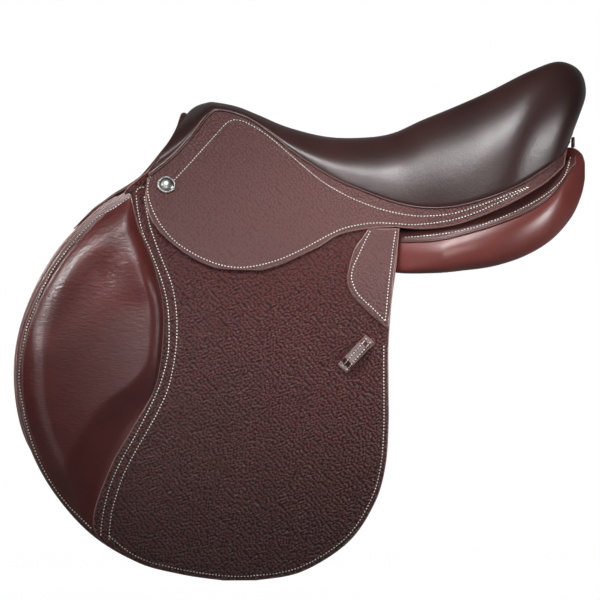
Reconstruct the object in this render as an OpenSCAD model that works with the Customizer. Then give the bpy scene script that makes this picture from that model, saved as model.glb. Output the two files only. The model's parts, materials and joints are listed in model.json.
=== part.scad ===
// Jumping saddle.
// The pommel points to -X, the left side is -Y and +Z is up.
// The origin is the top of the horse's back, under the deepest point of the seat.

/* [Seat] */
// Seat size, pommel stud to cantle
seat_size = 445; // [425:1:465]
// Half of the width at the fold of the skirts
fold_half = 118; // [112:0.5:124]
// Thickness of the seat leather
seat_leather = 2.5; // [1.5:0.1:3]
// Thickness of the foam under the seat leather
foam_depth = 9; // [5:0.5:11]
// Radius of the welt in the seat seam
welt_r = 1.9; // [1.4:0.1:2.2]
// Radius of the roll round the pommel arch
roll_r = 4; // [3:0.1:4.4]

/* [Tree] */
// Wall of the tree shell
tree_wall = 8; // [6:0.5:9]
// Width of the opening in the middle of the tree
tree_slot = 58; // [46:1:60]
// Thickness of the steel head plate
plate_t = 3; // [2:0.1:4]
// Thickness of the webbing
web_t = 2; // [1.2:0.1:2.4]
// Radius of the tree rivets
rivet_r = 2.5; // [2:0.1:3]
// Radius of the panel screws
screw_r = 3; // [2.5:0.1:3.5]

/* [Skirt and flap] */
// Thickness of the skirt leather
skirt_t = 4; // [3:0.1:4.5]
// Thickness of the flap's grained leather
flap_t = 2.4; // [1.8:0.1:2.8]
// Thickness of the flap's lining
lining_t = 1.8; // [1.2:0.1:2]
// Height of the flap below the fold of the skirt
flap_drop = 400; // [380:1:420]
// Crown of the knee pad over the flap
pad_crown = 13; // [8:0.5:16]
// Thickness of the patch on the flap's rear corner
patch_t = 2; // [1.2:0.1:2.4]
// Thickness of the sweat flap
sweat_t = 3.5; // [2.5:0.1:4]
// Room between the sweat flap and the flap
girth_room = 17; // [16:0.1:20]
// Crown of the knee block
block_crown = 12; // [8:0.5:13]
// Radius of the skirt stud
stud_r = 10; // [8:0.1:11]

/* [Straps] */
// Width of a girth strap
strap_w = 28; // [24:0.5:32]
// Thickness of a girth strap
strap_t = 4.5; // [3.5:0.1:5]
// Length of a girth strap below the fold
strap_drop = 330; // [310:1:345]
// Diameter of the strap holes
hole_d = 6; // [5:0.1:7]
// Pitch of the strap holes
hole_pitch = 25; // [22:0.5:26]
// Distance between the two straps of a side
strap_pitch = 60; // [52:0.5:66]
// Height of the buckle guard
guard_h = 80; // [70:1:90]
// Wall of the buckle guard
guard_wall = 1.9; // [1.5:0.1:2]
// Width of the stirrup-leather keeper
keeper_w = 11.3; // [9:0.1:14]
// Length of the stirrup-leather keeper
keeper_l = 42.7; // [38:0.1:48]
// Thickness of the keeper leather
keeper_t = 2.4; // [2:0.1:3.2]
// Height of the gap under the keeper
keeper_gap = 6.4; // [6.2:0.1:7.5]

/* [Stirrup bar] */
// Radius of the stirrup bar
bar_r = 4.2; // [3.6:0.1:4.4]
// Length of the stirrup bar
bar_l = 84; // [76:1:90]
// Gap behind the bar for the stirrup leather
bar_gap = 7; // [6:0.1:7.2]
// Radius of the catch pin
pin_r = 1.5; // [1.2:0.1:1.6]

/* [Clearances] */
// Gap between two layers that lie on each other
lay = 0.3; // [0.2:0.05:0.4]
// Gap between layers that move on each other
slip = 0.5; // [0.3:0.05:0.6]
// Radial gap of a rivet or screw in its hole
bore_fit = 0.3; // [0.1:0.05:0.4]
// Radial gap of the catch on its pin
pin_fit = 0.2; // [0.1:0.05:0.3]
// Step from the tree's lower edge out to the sweat flap's plane
tree_step = 3.7; // [3.5:0.1:6]
// Gap between the girth web and the plate of the stirrup bar
web_gap = 8; // [4:0.5:12]

/* [Hidden] */
$fn = 32;
// Length scale of the long curves, width scale of the cross-sections
sx = seat_size / 445;
sw = fold_half / 118;
sd = flap_drop / 400;
// Fold line of the skirt: start, tilt and slopes of the side below and above it
fold_x = -210 * sx;
fold_z = 20;
tilt = 7.06;
m_top = 0.5;
m_low = 0.12;
bend = 110;
slope = atan(m_top);
lean = atan(m_low / cos(tilt));
// Extra depth of the flap's head for each millimetre above the fold line
head_sink = 0.1;
// Depths of the layers under the skirt's outer face
flap_out = skirt_t + slip;
flap_in = flap_out + flap_t;
lin_out = flap_in + 2 * lay;
lin_in = lin_out + lining_t;
sweat_out = lin_in + girth_room;
sweat_in = sweat_out + sweat_t;
web_in = sweat_out - slip;
web_out = web_in - web_t;
strap_in = web_out - slip;
strap_out = strap_in - strap_t;
tree_out = sweat_out + 1;
// Half width of the tree, which the panels share, and its scale
tree_half = fold_half - tree_out - tree_step;
st = tree_half / 87;
// Stirrup bar: places along and above the fold line, plate thickness and length
bar_a = 36;
bar_h = 11;
bar_y = (tree_out - 1) * cos(slope);
bar_plate = 3.5;
bar_foot = 62;
bar_mid = bar_y - bar_plate - bar_gap - bar_r;
rivet_a = [bar_a + 8, bar_a + 48];
// Place of the front strap along the fold line and rim of the web beside the straps
web_rim = 4;
strap_a = bar_a - 6 + bar_foot + web_gap + web_rim + strap_w / 2;
// Seat: middle line (x, z), seam line (x, z, half width), roundness, flare and dish at the same stations
seat_mid = [[-174, 109], [-170, 113], [-164, 117], [-155, 120], [-145, 121], [-122, 116], [-98, 106],
  [-68, 94], [-28, 84], [8, 82], [43, 86], [77, 99], [112, 112], [150, 127], [192, 149], [224, 163],
  [246, 154.5], [252.5, 129], [241, 97]];
seat_seam = [[-215, 41, 110], [-192, 59, 99], [-170, 82, 85], [-150, 107, 67], [-137, 112, 64],
  [-110, 104, 68], [-87, 89, 75], [-57, 65, 85], [-20, 41, 95], [12, 27, 100], [47, 14, 105],
  [78, 8, 110], [110, 9, 116], [143, 17, 119], [176, 30, 116], [209, 50, 100], [224, 62, 86],
  [232, 74, 66], [238, 86, 35]];
seat_crown = [1, 1, 1, 1.1, 1.2, 1.3, 1.3, 1.3, 1.4, 1.4, 1.4, 1.5, 1.5, 1.5, 1.4, 1.3, 1.2, 1.1, 1];
seat_flare = [1.4, 1.4, 1.4, 1.2, 1.1, 1.1, 1.1, 1.15, 1.2, 1.2, 1.2, 1.15, 1.15, 1.1, 1, 1, 1, 1, 1];
seat_dish = [0, 0, 0, 0, 0, 1, 2, 2, 2, 3, 4, 6, 8, 10, 9, 5, 0, 0, 0];
seat_n = len(seat_mid) - 1;
// Skirt: x on the fold line per seat station, then the lower edge of the tail (x, z, half width)
skirt_fold = [-217, -200, -182, -165, -148, -120, -94, -62, -24, 10, 48];
skirt_tail = [[78, -14, 119], [110, -10, 122], [140, 0, 123], [172, 14, 120], [203, 32, 106], [217, 43, 94],
  [229, 55, 78]];
skirt_n = len(skirt_fold) - 1;
// Flat outlines as (x, distance below the fold line)
flap_front = [[-240, 0.6], [-269, 24], [-308.5, 73], [-338, 126.5], [-353.5, 178], [-354, 233], [-341.5, 281],
  [-316, 326.5], [-276.5, 366.5]];
flap_foot = [[-229, 390], [-180, 398], [-135, 399]];
flap_rear = [[52, 0.6], [48, 45], [43, 84], [40, 129], [40, 169], [40, 214], [36.5, 258], [25, 298],
  [-3, 342.5], [-52, 379.5], [-100, 394.5]];
pad_edge = [[-233, 0.6], [-226, 32], [-209, 72], [-199, 114], [-199, 154], [-207, 203], [-230, 248],
  [-256, 298], [-272, 362]];
// Knee pad relief: crest along the front, hollow behind it and knob under the skirt, each from end to end
pad_crest = [[-268, 38], [-329, 133]];
pad_hollow = [[-257, 77], [-318, 159]];
pad_knob = [[-246, 62], [-243, 68]];
lobe_front = [[-217, 0.4], [-216, 9], [-212, 23], [-200, 38], [-183, 51], [-162, 62], [-140, 68]];
lobe_rear = [[48, 0.4], [20, 5], [-11, 15], [-32, 30], [-50, 41], [-72, 54], [-95, 64]];
patch_front = [[20, 7], [13, 18], [5, 31], [-1, 53], [-2, 66], [3, 79], [13, 89], [26, 100], [37, 108]];
patch_rear = [[51.6, 3], [50.6, 15], [49, 27], [47, 43], [45, 58], [44, 71], [43, 84], [41, 97], [40, 110]];
head_front = [[-240, -0.4], [-237.5, -4], [-231, -11], [-223, -18.5], [-216, -25]];
head_rear = [[-187, -0.4], [-187, -4], [-187, -11], [-187, -18.5], [-187, -25]];
sweat_front = [[-250, 6], [-272.5, 25], [-311.5, 71.5], [-340, 126], [-355, 179], [-355.5, 233], [-342, 281],
  [-310, 317], [-260, 343], [-200, 353]];
sweat_rear = [[12, 6], [12, 43], [13, 82], [13, 122], [9, 163], [0, 204], [-20, 247], [-50, 285],
  [-95, 321], [-140, 343]];
block_front = [[-262, 30], [-296, 73], [-320, 124], [-330, 175]];
block_rear = [[-238, 27], [-262, 72], [-283, 125], [-300, 171]];
// Tree shell: middle (x, 0, z), shoulder and lower edge (x, half width, z) per station
tree_mid = [[-158, 0, 90], [-125, 0, 84], [-80, 0, 69], [-30, 0, 56], [20, 0, 53], [70, 0, 63], [120, 0, 82],
  [165, 0, 103], [200, 0, 124], [220, 0, 138]];
tree_shoulder = [[-182, 58, 68], [-145, 57, 65], [-98, 60, 51], [-42, 66, 36], [18, 70, 29], [70, 74, 35],
  [120, 78, 52], [165, 76, 76], [196, 62, 99], [215, 44, 116]];
tree_edge = [[-209, 87, 26], [-165, 87, 20], [-112, 87, 14], [-52, 86, 9], [15, 85, 4], [65, 89, 11],
  [115, 94, 21], [160, 93, 39], [192, 80, 61], [211, 60, 84]];
tree_n = len(tree_mid) - 1;
// Panel sections: x, inner top, outer top, outer bottom, inner bottom as (half width, z)
panel_cut = [[-212, [48, 52], [80, 14], [88, -14], [48, 26]],
  [-190, [40, 58], [86, 4], [100, -34], [31, 36]],
  [-110, [42, 42], [87, -5], [106, -46], [30, 18]], [-30, [42, 34], [88, -12], [107, -52], [30, 9]],
  [15, [42, 32], [91, -17], [107, -54], [31, 6]], [45, [42, 34], [106, -21], [117, -72], [32, -2]],
  [89, [40, 42], [119, -20], [121, -74], [33, -2]], [121, [40, 49], [120, -12], [119, -72], [34, 1]],
  [154, [40, 59], [117, -1], [115, -68], [34, 5]], [187, [38, 71], [109, 13], [105, -57], [33, 12]],
  [215, [36, 80], [94, 32], [92, -39], [32, 21]], [236, [35, 78], [72, 57], [74, -14], [33, 34]],
  [247, [37, 70], [60, 56], [60, 14], [37, 42]], [251, [42, 58], [54, 53], [54, 36], [42, 47]]];
panel_n = len(panel_cut) - 1;
// Front roll: x, half width, z from the pommel down, then flat points along the sweat flap's front edge
roll_path = [[-177.5, 0, 106.2], [-178.8, 16, 102.6], [-183, 34, 91], [-191, 52, 77], [-202, 68, 63],
  [-213.5, 80, 49], [-223, 85, 39], [-233, 88, 32], [-243, 90, 26]];
roll_foot = [[-252, 4.4], [-262.5, 13.3], [-274.2, 23.3], [-294.8, 45.5]];
roll_n = len(roll_path) + len(roll_foot) - 1;
// Stud, keeper and rear tab places
stud_at = [12.5, 14.9];
keeper_at = [235.5, 140.6];
keeper_turn = 53.8;
screw_at = [[-118, 46, 44, 69], [165, 54, 48, 87]];
tab_at = [237, 42, 72.1];
// Thickness, width and height of the rear tab
tab_size = [3.2, 16, 11.4];

// Point on a smooth curve through the listed values, u runs from 0 to the last index
function curve(p, u) =
  let (n = len(p) - 1, i = max(0, min(floor(u), n - 1)), f = u - i,
       a = p[max(i - 1, 0)], b = p[i], c = p[i + 1], d = p[min(i + 2, n)])
  b + 0.5 * f * (c - a + f * (2 * a - 5 * b + 4 * c - d + f * (3 * (b - c) + d - a)));
function unit(v) = v / norm(v);
function fold_at(x) = fold_z - (x - fold_x) * tan(tilt);
// Outward travel of the side at a distance below the fold line
function drop(d) =
  d <= 0 ? m_top * d
  : d < bend ? m_top * d - (m_top - m_low) / (2 * bend) * d * d
  : (m_top + m_low) / 2 * bend + m_low * (d - bend);
// Flat outline grid between a front and a rear curve, then laid on the side at a depth
function flat(front, rear, n, m) =
  [for (i = [0:n])
    let (a = curve(front, i / n * (len(front) - 1)), b = curve(rear, i / n * (len(rear) - 1)))
    [for (j = [0:m]) let (p = a + (b - a) * j / m) [p[0] * sx, p[1] > 0 ? p[1] * sd : p[1]]]];
function laid(p, depth) = [p[0], -(fold_half + drop(p[1]) - depth), fold_at(p[0]) - p[1]];
function lay_all(g, depth) = [for (r = g) [for (p = r) laid(p, depth)]];
// The same with a depth that grows above the fold line, where the skirt rounds over towards the seat
function lay_under(g, depth) = [for (r = g) [for (p = r) laid(p, depth - head_sink * p[1])]];
// Seat surface, t from -1 on the right seam to 1 on the left seam
function seat_at(s, t) =
  let (c = curve(seat_mid, s), e = curve(seat_seam, s), u = abs(t),
       g = pow(1 - cos(90 * u), curve(seat_crown, s)), w = pow(sin(90 * u), curve(seat_flare, s)),
       q = sin(180 * w))
  [(c[0] + (e[0] - c[0]) * g) * sx, (t < 0 ? 1 : -1) * e[2] * w * sw,
   c[1] + (e[1] - c[1]) * g + curve(seat_dish, s) * q * q];
function seat_normal(s, t) =
  let (h = 0.02, a = seat_at(min(s + h, seat_n), t) - seat_at(max(s - h, 0), t),
       b = seat_at(s, min(t + h, 1)) - seat_at(s, max(t - h, -1)))
  unit(cross(b, a));
function seat_deep(s, t, depth) = seat_at(s, t) - depth * seat_normal(s, t);
function seat_grid(s0, s1, n, t1, m, depth) =
  [for (i = [0:n]) [for (j = [0:m]) seat_deep(s0 + (s1 - s0) * i / n, t1 - 2 * t1 * j / m, depth)]];
// Direction in which the seat leather runs into its seam on the left, square to the seam
function seam_run(s) =
  let (h = 0.1, f = unit(seat_at(min(s + h, seat_n), 1) - seat_at(max(s - h, 0), 1)),
       r = seat_at(s, 1) - seat_at(s, 0.93))
  unit(r - (r * f) * f);
function seam_at(s, off) = seat_at(s, 1) + off * seam_run(s);
// Fixed skirt, v from the seam to the fold or to the tail's lower edge
function skirt_low(s) =
  s <= skirt_n
  ? let (x = curve(skirt_fold, s) * sx) [x, -fold_half, fold_at(x)]
  : let (k = concat([[48, fold_at(48 * sx), 118]], skirt_tail), p = curve(k, s - skirt_n))
    [p[0] * sx, -p[2] * sw, p[1]];
function skirt_at(s, v, depth) =
  let (a = seam_at(s, 2 * (welt_r + lay)), b = skirt_low(s), hh = max(1, a[2] - b[2]),
       p = a + (b - a) * v * (1 - lay / hh), h = p[2] - b[2], k = max(0, min(1, (skirt_n - s) / 2)),
       c = (a[1] - b[1] - m_top * hh) / (hh * hh),
       bent = b[1] + m_top * h + c * h * h)
  [p[0], p[1] + k * (bent - p[1]) + depth, p[2]];
// Half width of a tree or panel point: it scales up to the tree's edge and keeps its step beyond it
function wide(o) = sign(o) * (abs(o) < 87 ? abs(o) * st : abs(o) + tree_half - 87);
function tree_at(s, t) =
  let (m = curve(tree_mid, s), h = curve(tree_shoulder, s), e = curve(tree_edge, s),
       p = curve([[e[0], -e[1], e[2]], [h[0], -h[1], h[2]], m, h, e], (t + 1) * 2))
  [p[0] * sx, -wide(p[1]), p[2]];
function tree_normal(s, t) =
  let (h = 0.05, a = tree_at(min(s + h, tree_n), t) - tree_at(max(s - h, 0), t),
       b = tree_at(s, min(t + h, 1)) - tree_at(s, max(t - h, -1)))
  unit(cross(b, a));
function tree_grid(s0, s1, n, t0, t1, m, depth) =
  [for (i = [0:n]) [for (j = [0:m])
    let (s = s0 + (s1 - s0) * i / n, t = t1 - (t1 - t0) * j / m) tree_at(s, t) - depth * tree_normal(s, t)]];
// Panel section point, angle 0 is the outer side and 90 the top
function bow(v) = sign(v) * pow(abs(v), 0.62);
function panel_at(u, ang, grow) =
  let (x = curve([for (c = panel_cut) c[0]], u),
       k = [for (q = [1:4]) curve([for (c = panel_cut) c[q]], u)],
       p = (1 + bow(cos(ang))) / 2, r = (1 + bow(sin(ang))) / 2,
       top = k[0] + (k[1] - k[0]) * p, low = k[3] + (k[2] - k[3]) * p, w = low + (top - low) * r,
       mid = (k[0] + k[1] + k[2] + k[3]) / 4, out = w + grow * unit(w - mid))
  [x * sx, -wide(out[0]), out[1]];

// Solid between an outer and an inner grid of points
module slab(outer, inner) {
  n = len(outer);
  m = len(outer[0]);
  k = n * m;
  top = [for (i = [0:n - 2]) for (j = [0:m - 2]) let (a = i * m + j) each
    [[a, a + 1, a + m + 1], [a, a + m + 1, a + m]]];
  low = [for (f = top) [k + f[0], k + f[2], k + f[1]]];
  ends = [for (j = [0:m - 2]) let (b = (n - 1) * m + j) each
    [[j + 1, j, k + j], [j + 1, k + j, k + j + 1], [b, b + 1, k + b + 1], [b, k + b + 1, k + b]]];
  sides = [for (i = [0:n - 2]) let (a = i * m, b = i * m + m - 1) each
    [[a, a + m, k + a + m], [a, k + a + m, k + a], [b + m, b, k + b], [b + m, k + b, k + b + m]]];
  polyhedron([for (r = outer) each r, for (r = inner) each r], concat(top, low, ends, sides));
}

// Solid through a row of rings, closed at both ends
module tube(rings) {
  n = len(rings);
  m = len(rings[0]);
  ends = [for (r = [rings[0], rings[n - 1]]) [for (q = [0:2]) [for (p = r) p[q]] * [for (p = r) 1] / m]];
  wall = [for (i = [0:n - 2]) for (j = [0:m - 1])
    let (a = i * m + j, b = i * m + (j + 1) % m) each [[a, b + m, b], [a, a + m, b + m]]];
  caps = [for (j = [0:m - 1]) let (a = j, b = (j + 1) % m, c = (n - 1) * m) each
    [[n * m, a, b], [n * m + 1, c + b, c + a]]];
  polyhedron([for (r = rings) each r, ends[0], ends[1]], concat(wall, caps));
}

// Frames: along the fold line, and on the skirt's outer face above it
module fold_frame() {
  translate([fold_x, 0, fold_z]) rotate([0, tilt, 0]) children();
}

module skirt_frame() {
  fold_frame() translate([0, -fold_half, 0]) rotate([-slope, 0, 0]) children();
}

module other_side() {
  mirror([0, 1, 0]) children();
}

// Strip of the side with a constant width along the fold line, between two depths
module side_strip(a, w, out, in, d0, d1) {
  top = [for (d = [d0:10:d1 - 5]) d];
  row = concat(top, [d1]);
  translate([a, 0, 0]) rotate([90, 0, 90]) linear_extrude(w)
    polygon(concat([for (d = row) [-(fold_half + drop(d / cos(tilt)) - out), -d]],
      [for (i = [len(row) - 1:-1:0]) [-(fold_half + drop(row[i] / cos(tilt)) - in), -row[i]]]));
}

// Holes through the tree for the rivets, screws and studs of one side
module tree_holes(r_rivet, r_screw) {
  skirt_frame() {
    for (a = rivet_a) translate([a, 0, 24]) rotate([-90, 0, 0]) cylinder(r = r_rivet, h = 60);
    translate([stud_at[0], 0, stud_at[1]]) rotate([-90, 0, 0]) cylinder(r = r_screw, h = 60);
  }
  for (p = screw_at) translate([p[0] * sx, -wide(p[1]), 0]) {
    translate([0, 0, 30]) cylinder(r = r_screw, h = 70);
    translate([0, 0, p[3] - lay]) cylinder(r = 2 * screw_r + bore_fit, h = 30);
  }
}

module tree() {
  color("tan")
  difference() {
    slab(tree_grid(0, tree_n, 18, -1, 1, 16, 0), tree_grid(0, tree_n, 18, -1, 1, 16, tree_wall));
    translate([-50 * sx, 0, 0]) {
      translate([0, -tree_slot / 2, 0]) cube([130, tree_slot, 120]);
      cylinder(d = tree_slot, h = 120);
      translate([130, 0, 0]) cylinder(d = tree_slot, h = 120);
    }
    tree_holes(rivet_r + bore_fit, screw_r + bore_fit);
    other_side() tree_holes(rivet_r + bore_fit, screw_r + bore_fit);
  }
}

module head_plate() {
  color("gray")
  slab(tree_grid(0, 0.5, 2, -0.625, 0.625, 10, -lay - plate_t),
    tree_grid(0, 0.5, 2, -0.625, 0.625, 10, -lay));
}

module seat_webs() {
  color("beige")
  for (y = [-1, 1])
    let (t0 = y < 0 ? 0.0625 : -0.25, t1 = t0 + 0.1875)
    slab(tree_grid(1, 8.5, 15, t0, t1, 2, -1.5 * lay - web_t), tree_grid(1, 8.5, 15, t0, t1, 2, -1.5 * lay));
}

module seat_foam() {
  color("khaki")
  slab(seat_grid(1.8, 16.2, 24, 7 / 9, 14, seat_leather + lay),
    seat_grid(1.8, 16.2, 24, 7 / 9, 14, seat_leather + lay + foam_depth));
}

module seat_cover() {
  color("saddlebrown")
  slab(seat_grid(0, seat_n, 30, 1, 18, 0), seat_grid(0, seat_n, 30, 1, 18, seat_leather));
}

module pommel_roll() {
  path = concat([for (p = roll_path) [p[0] * sx, -p[1] * sw, p[2]]],
    [for (p = roll_foot) laid([p[0] * sx, p[1] * sd], (sweat_out + sweat_in) / 2)]);
  color("sienna")
  tube([for (k = [-3 * roll_n:3 * roll_n])
    let (u = abs(k) / 3, p = curve(path, u), r = roll_r * (1 - 0.7 * u / roll_n), side = k < 0 ? -1 : 1,
         f = unit(curve(path, min(u + 0.1, roll_n)) - curve(path, max(u - 0.1, 0))),
         e = unit(cross(f, [0, 1, 0])), g = cross(f, e))
    [for (i = [0:7]) let (v = p + r * (cos(45 * i) * e + sin(45 * i) * g)) [v[0], side * v[1], v[2]]]]);
}

module panel_screws() {
  color("silver")
  for (y = [-1, 1]) for (p = screw_at)
    translate([p[0] * sx, y * wide(p[1]), p[2]]) {
      cylinder(r = screw_r, h = p[3] - p[2]);
      translate([0, 0, p[3] - p[2]]) cylinder(r = 2 * screw_r, h = 2);
    }
}

module tree_rivets() {
  color("silver")
  for (y = [0, 1]) mirror([0, y, 0]) skirt_frame()
    for (a = rivet_a)
      translate([a, bar_y - bar_plate - lay - 1.6, 24]) rotate([-90, 0, 0]) {
        cylinder(r = rivet_r, h = bar_plate + tree_wall + 6);
        cylinder(r = 2 * rivet_r, h = 1.6);
      }
}

module left_skirt() {
  color("sienna")
  difference() {
    slab([for (i = [0:5]) [for (j = [0:28]) skirt_at(0.6 * j, i / 5, 0)]],
      [for (i = [0:5]) [for (j = [0:28]) skirt_at(0.6 * j, i / 5, skirt_t)]]);
    skirt_frame() translate([stud_at[0], -5, stud_at[1]]) rotate([-90, 0, 0])
      cylinder(r = screw_r + bore_fit, h = 20);
  }
}

module left_welt() {
  color("black")
  tube([for (k = [0:29])
    let (s = 0.6 * k, p = seam_at(s, welt_r + lay), q = seam_at(s + 0.05, welt_r + lay),
         f = unit(q - p), e = unit(cross(f, seam_run(s))), g = cross(e, f))
    [for (i = [0:5]) p + welt_r * (cos(60 * i) * e - sin(60 * i) * g)]]);
}

module left_stud() {
  color("silver")
  skirt_frame() translate([stud_at[0], -lay, stud_at[1]]) rotate([-90, 0, 0]) {
    cylinder(r = screw_r, h = bar_y + 14);
    translate([0, 0, 1 - 15]) intersection() {
      translate([0, 0, 14]) rotate([180, 0, 0]) cylinder(r = stud_r, h = 6);
      translate([0, 0, 22]) sphere(r = 13.5);
    }
  }
}

module left_flap_head() {
  color("sienna")
  difference() {
    slab(lay_under(flat_up(head_front, head_rear, 4, 6), flap_out),
      lay_under(flat_up(head_front, head_rear, 4, 6), lin_in));
    skirt_frame() translate([stud_at[0], 0, stud_at[1]]) rotate([-90, 0, 0])
      cylinder(r = screw_r + bore_fit, h = 30);
  }
}

// Flat grid with its rows from the upper edge down
function flat_up(front, rear, n, m) =
  let (g = flat(front, rear, n, m)) [for (i = [n:-1:0]) g[i]];

module left_sweat_flap() {
  color("peru")
  let (g = flat(sweat_front, sweat_rear, 12, 7))
  slab(lay_all(g, sweat_out), lay_all(g, sweat_in));
}

// Cushion on the side: crown over an outline, base at a depth
module cushion(front, rear, n, m, base, edge, crown) {
  g = flat(front, rear, n, m);
  slab([for (i = [0:n]) [for (j = [0:m])
      let (across = pow(sin(180 * j / m), 0.8), along = pow(sin(180 * pow(i / n, 0.75)), 0.7))
      laid(g[i][j], base - edge - crown * across * along)]],
    lay_all(g, base));
}

module left_knee_block() {
  color("peru")
  cushion(block_front, block_rear, 8, 5, sweat_out - lay, 1.5, block_crown);
}

module left_panel() {
  color("brown")
  difference() {
    tube([for (k = [0:3 * panel_n]) [for (i = [0:13]) panel_at(k / 3, -360 / 14 * i, 0)]]);
    for (p = screw_at)
      translate([p[0] * sx, -wide(p[1]), p[2] - 1]) cylinder(r = screw_r + bore_fit, h = 60);
  }
}

module left_panel_band() {
  color("sienna")
  slab([for (i = [0:3]) [for (k = [13:34]) panel_at(k / 3, 68 - 12 * i, lay + 2)]],
    [for (i = [0:3]) [for (k = [13:34]) panel_at(k / 3, 68 - 12 * i, lay)]]);
}

module left_girth_web() {
  color("beige")
  fold_frame()
    side_strip(strap_a - strap_w / 2 - web_rim, strap_pitch + strap_w + 2 * web_rim,
      web_out, web_in, -40, 45);
}

module left_stirrup_bar() {
  color("silver")
  skirt_frame() {
    difference() {
      translate([bar_a - 6, bar_y - bar_plate, -2]) cube([bar_foot, bar_plate, 40]);
      for (a = rivet_a) translate([a, 0, 24]) rotate([-90, 0, 0]) cylinder(r = rivet_r + bore_fit, h = 60);
    }
    translate([bar_a - 6, bar_mid - bar_r, bar_h - bar_r]) cube([10, bar_gap + 2 * bar_r + 1, 2 * bar_r]);
    difference() {
      translate([bar_a, bar_mid, bar_h]) rotate([0, 90, 0]) cylinder(r = bar_r, h = bar_l);
      translate([bar_a + bar_l - 11, bar_mid - 1.7, bar_h - 10]) cube([20, 3.4, 20]);
      translate([bar_a + bar_l - 5, 0, bar_h]) rotate([-90, 0, 0]) cylinder(r = pin_r, h = 30);
    }
  }
}

module left_catch_pin() {
  color("gray")
  skirt_frame() translate([bar_a + bar_l - 5, bar_mid - 3.6, bar_h]) rotate([-90, 0, 0])
    cylinder(r = pin_r, h = 7.2);
}

module left_bar_catch() {
  color("silver")
  skirt_frame() translate([bar_a + bar_l - 5, bar_mid - 1.4, bar_h]) rotate([-90, 0, 0])
    linear_extrude(2.8) difference() {
      union() {
        circle(r = 4);
        translate([0, -3]) square([18, 6]);
        translate([18, 0]) circle(r = 3);
      }
      circle(r = pin_r + pin_fit);
    }
}

module left_rear_tab() {
  color("saddlebrown")
  translate([tab_at[0] * sx, -tab_at[1] * sw - tab_size[1] / 2, tab_at[2]]) cube(tab_size);
}

module left_flap_lining() {
  color("peru")
  let (g = flat(concat(flap_front, flap_foot), flap_rear, 14, 8))
  slab(lay_all(g, lin_out), lay_all(g, lin_in));
}

module left_flap() {
  color("sienna")
  let (g = flat(concat(pad_edge, flap_foot), flap_rear, 22, 8))
  slab(lay_all(g, flap_out), lay_all(g, flap_in));
}

// Rise of a crest that runs between two flat points and fades over a width
function crest(p, ends, w) =
  let (a = ends[0], b = ends[1] - a, t = max(0, min(1, (p - a) * b / (b * b))))
  exp(-pow(norm(p - a - t * b) / w, 2));

module left_knee_pad() {
  color("brown")
  let (n = 16, m = 9, g = flat([for (i = [0:n]) curve(concat(flap_front, flap_foot), i / 2)],
    [for (i = [0:n]) curve(concat(pad_edge, flap_foot), i / 2) - [0.9, 0]], n, m))
  slab([for (i = [0:n]) [for (j = [0:m])
      let (across = pow(sin(180 * pow(j / m, 0.85)), 0.7), along = pow(sin(180 * pow(i / n, 0.6)), 0.8),
           p = [g[i][j][0] / sx, g[i][j][1] / sd],
           relief = 1 + 0.25 * crest(p, pad_crest, 14) - 0.45 * crest(p, pad_hollow, 19)
             + 0.2 * crest(p, pad_knob, 18))
      laid(g[i][j], flap_out + 0.4 - pad_crown * across * along * relief)]],
    lay_all(g, flap_in));
}

module left_patch() {
  color("saddlebrown")
  let (g = flat(patch_front, patch_rear, 10, 4))
  slab(lay_all(g, flap_out - lay - patch_t), lay_all(g, flap_out - lay));
}

module left_keeper() {
  color("saddlebrown")
  fold_frame()
    translate([keeper_at[0] * sx, -(fold_half + drop(keeper_at[1] / cos(tilt)) - flap_out), -keeper_at[1]])
    rotate([-lean, 0, 0]) rotate([0, -keeper_turn, 0])
    translate([0, 0, -keeper_w / 2]) linear_extrude(keeper_w)
    polygon(concat(
      [for (i = [-12:12]) [keeper_l / 2 * i / 12, -arch(i / 12) - keeper_t]],
      [for (i = [12:-1:-12]) [keeper_l / 2 * i / 12, -arch(i / 12)]]));
}

// Height of the keeper's underside: flat over the gap, then down to its sewn ends
function arch(f) = lay + keeper_gap * (1 - cos(180 * max(0, min(1, (0.78 - abs(f)) / 0.23)))) / 2;

module left_skirt_lobe() {
  color("sienna")
  let (g = flat(lobe_front, lobe_rear, 9, 14))
  slab(lay_all(g, 0), lay_all(g, skirt_t));
}

module strap(a) {
  fold_frame() difference() {
    side_strip(a - strap_w / 2, strap_w, strap_out, strap_in, 18, strap_drop);
    for (k = [0:4])
      let (d = strap_drop - 18 - hole_pitch * k)
      translate([a, -(fold_half + drop(d / cos(tilt)) - strap_in), -d])
      rotate([-lean, 0, 0]) rotate([90, 0, 0]) translate([0, 0, -10]) cylinder(d = hole_d, h = 30);
  }
}

module left_front_strap() {
  color("chocolate") strap(strap_a);
}

module left_rear_strap() {
  color("chocolate") strap(strap_a + strap_pitch);
}

module left_guard() {
  color("saddlebrown")
  fold_frame() difference() {
    side_strip(strap_a - strap_w / 2 - 8, strap_pitch + strap_w + 16, strap_out - slip - guard_wall,
      strap_in + slip + guard_wall - 0.3, 135, 135 + guard_h);
    for (a = [strap_a, strap_a + strap_pitch])
      side_strip(a - strap_w / 2 - 0.8, strap_w + 1.6, strap_out - slip, strap_in + slip - 0.1,
        130, 145 + guard_h);
  }
}

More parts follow.
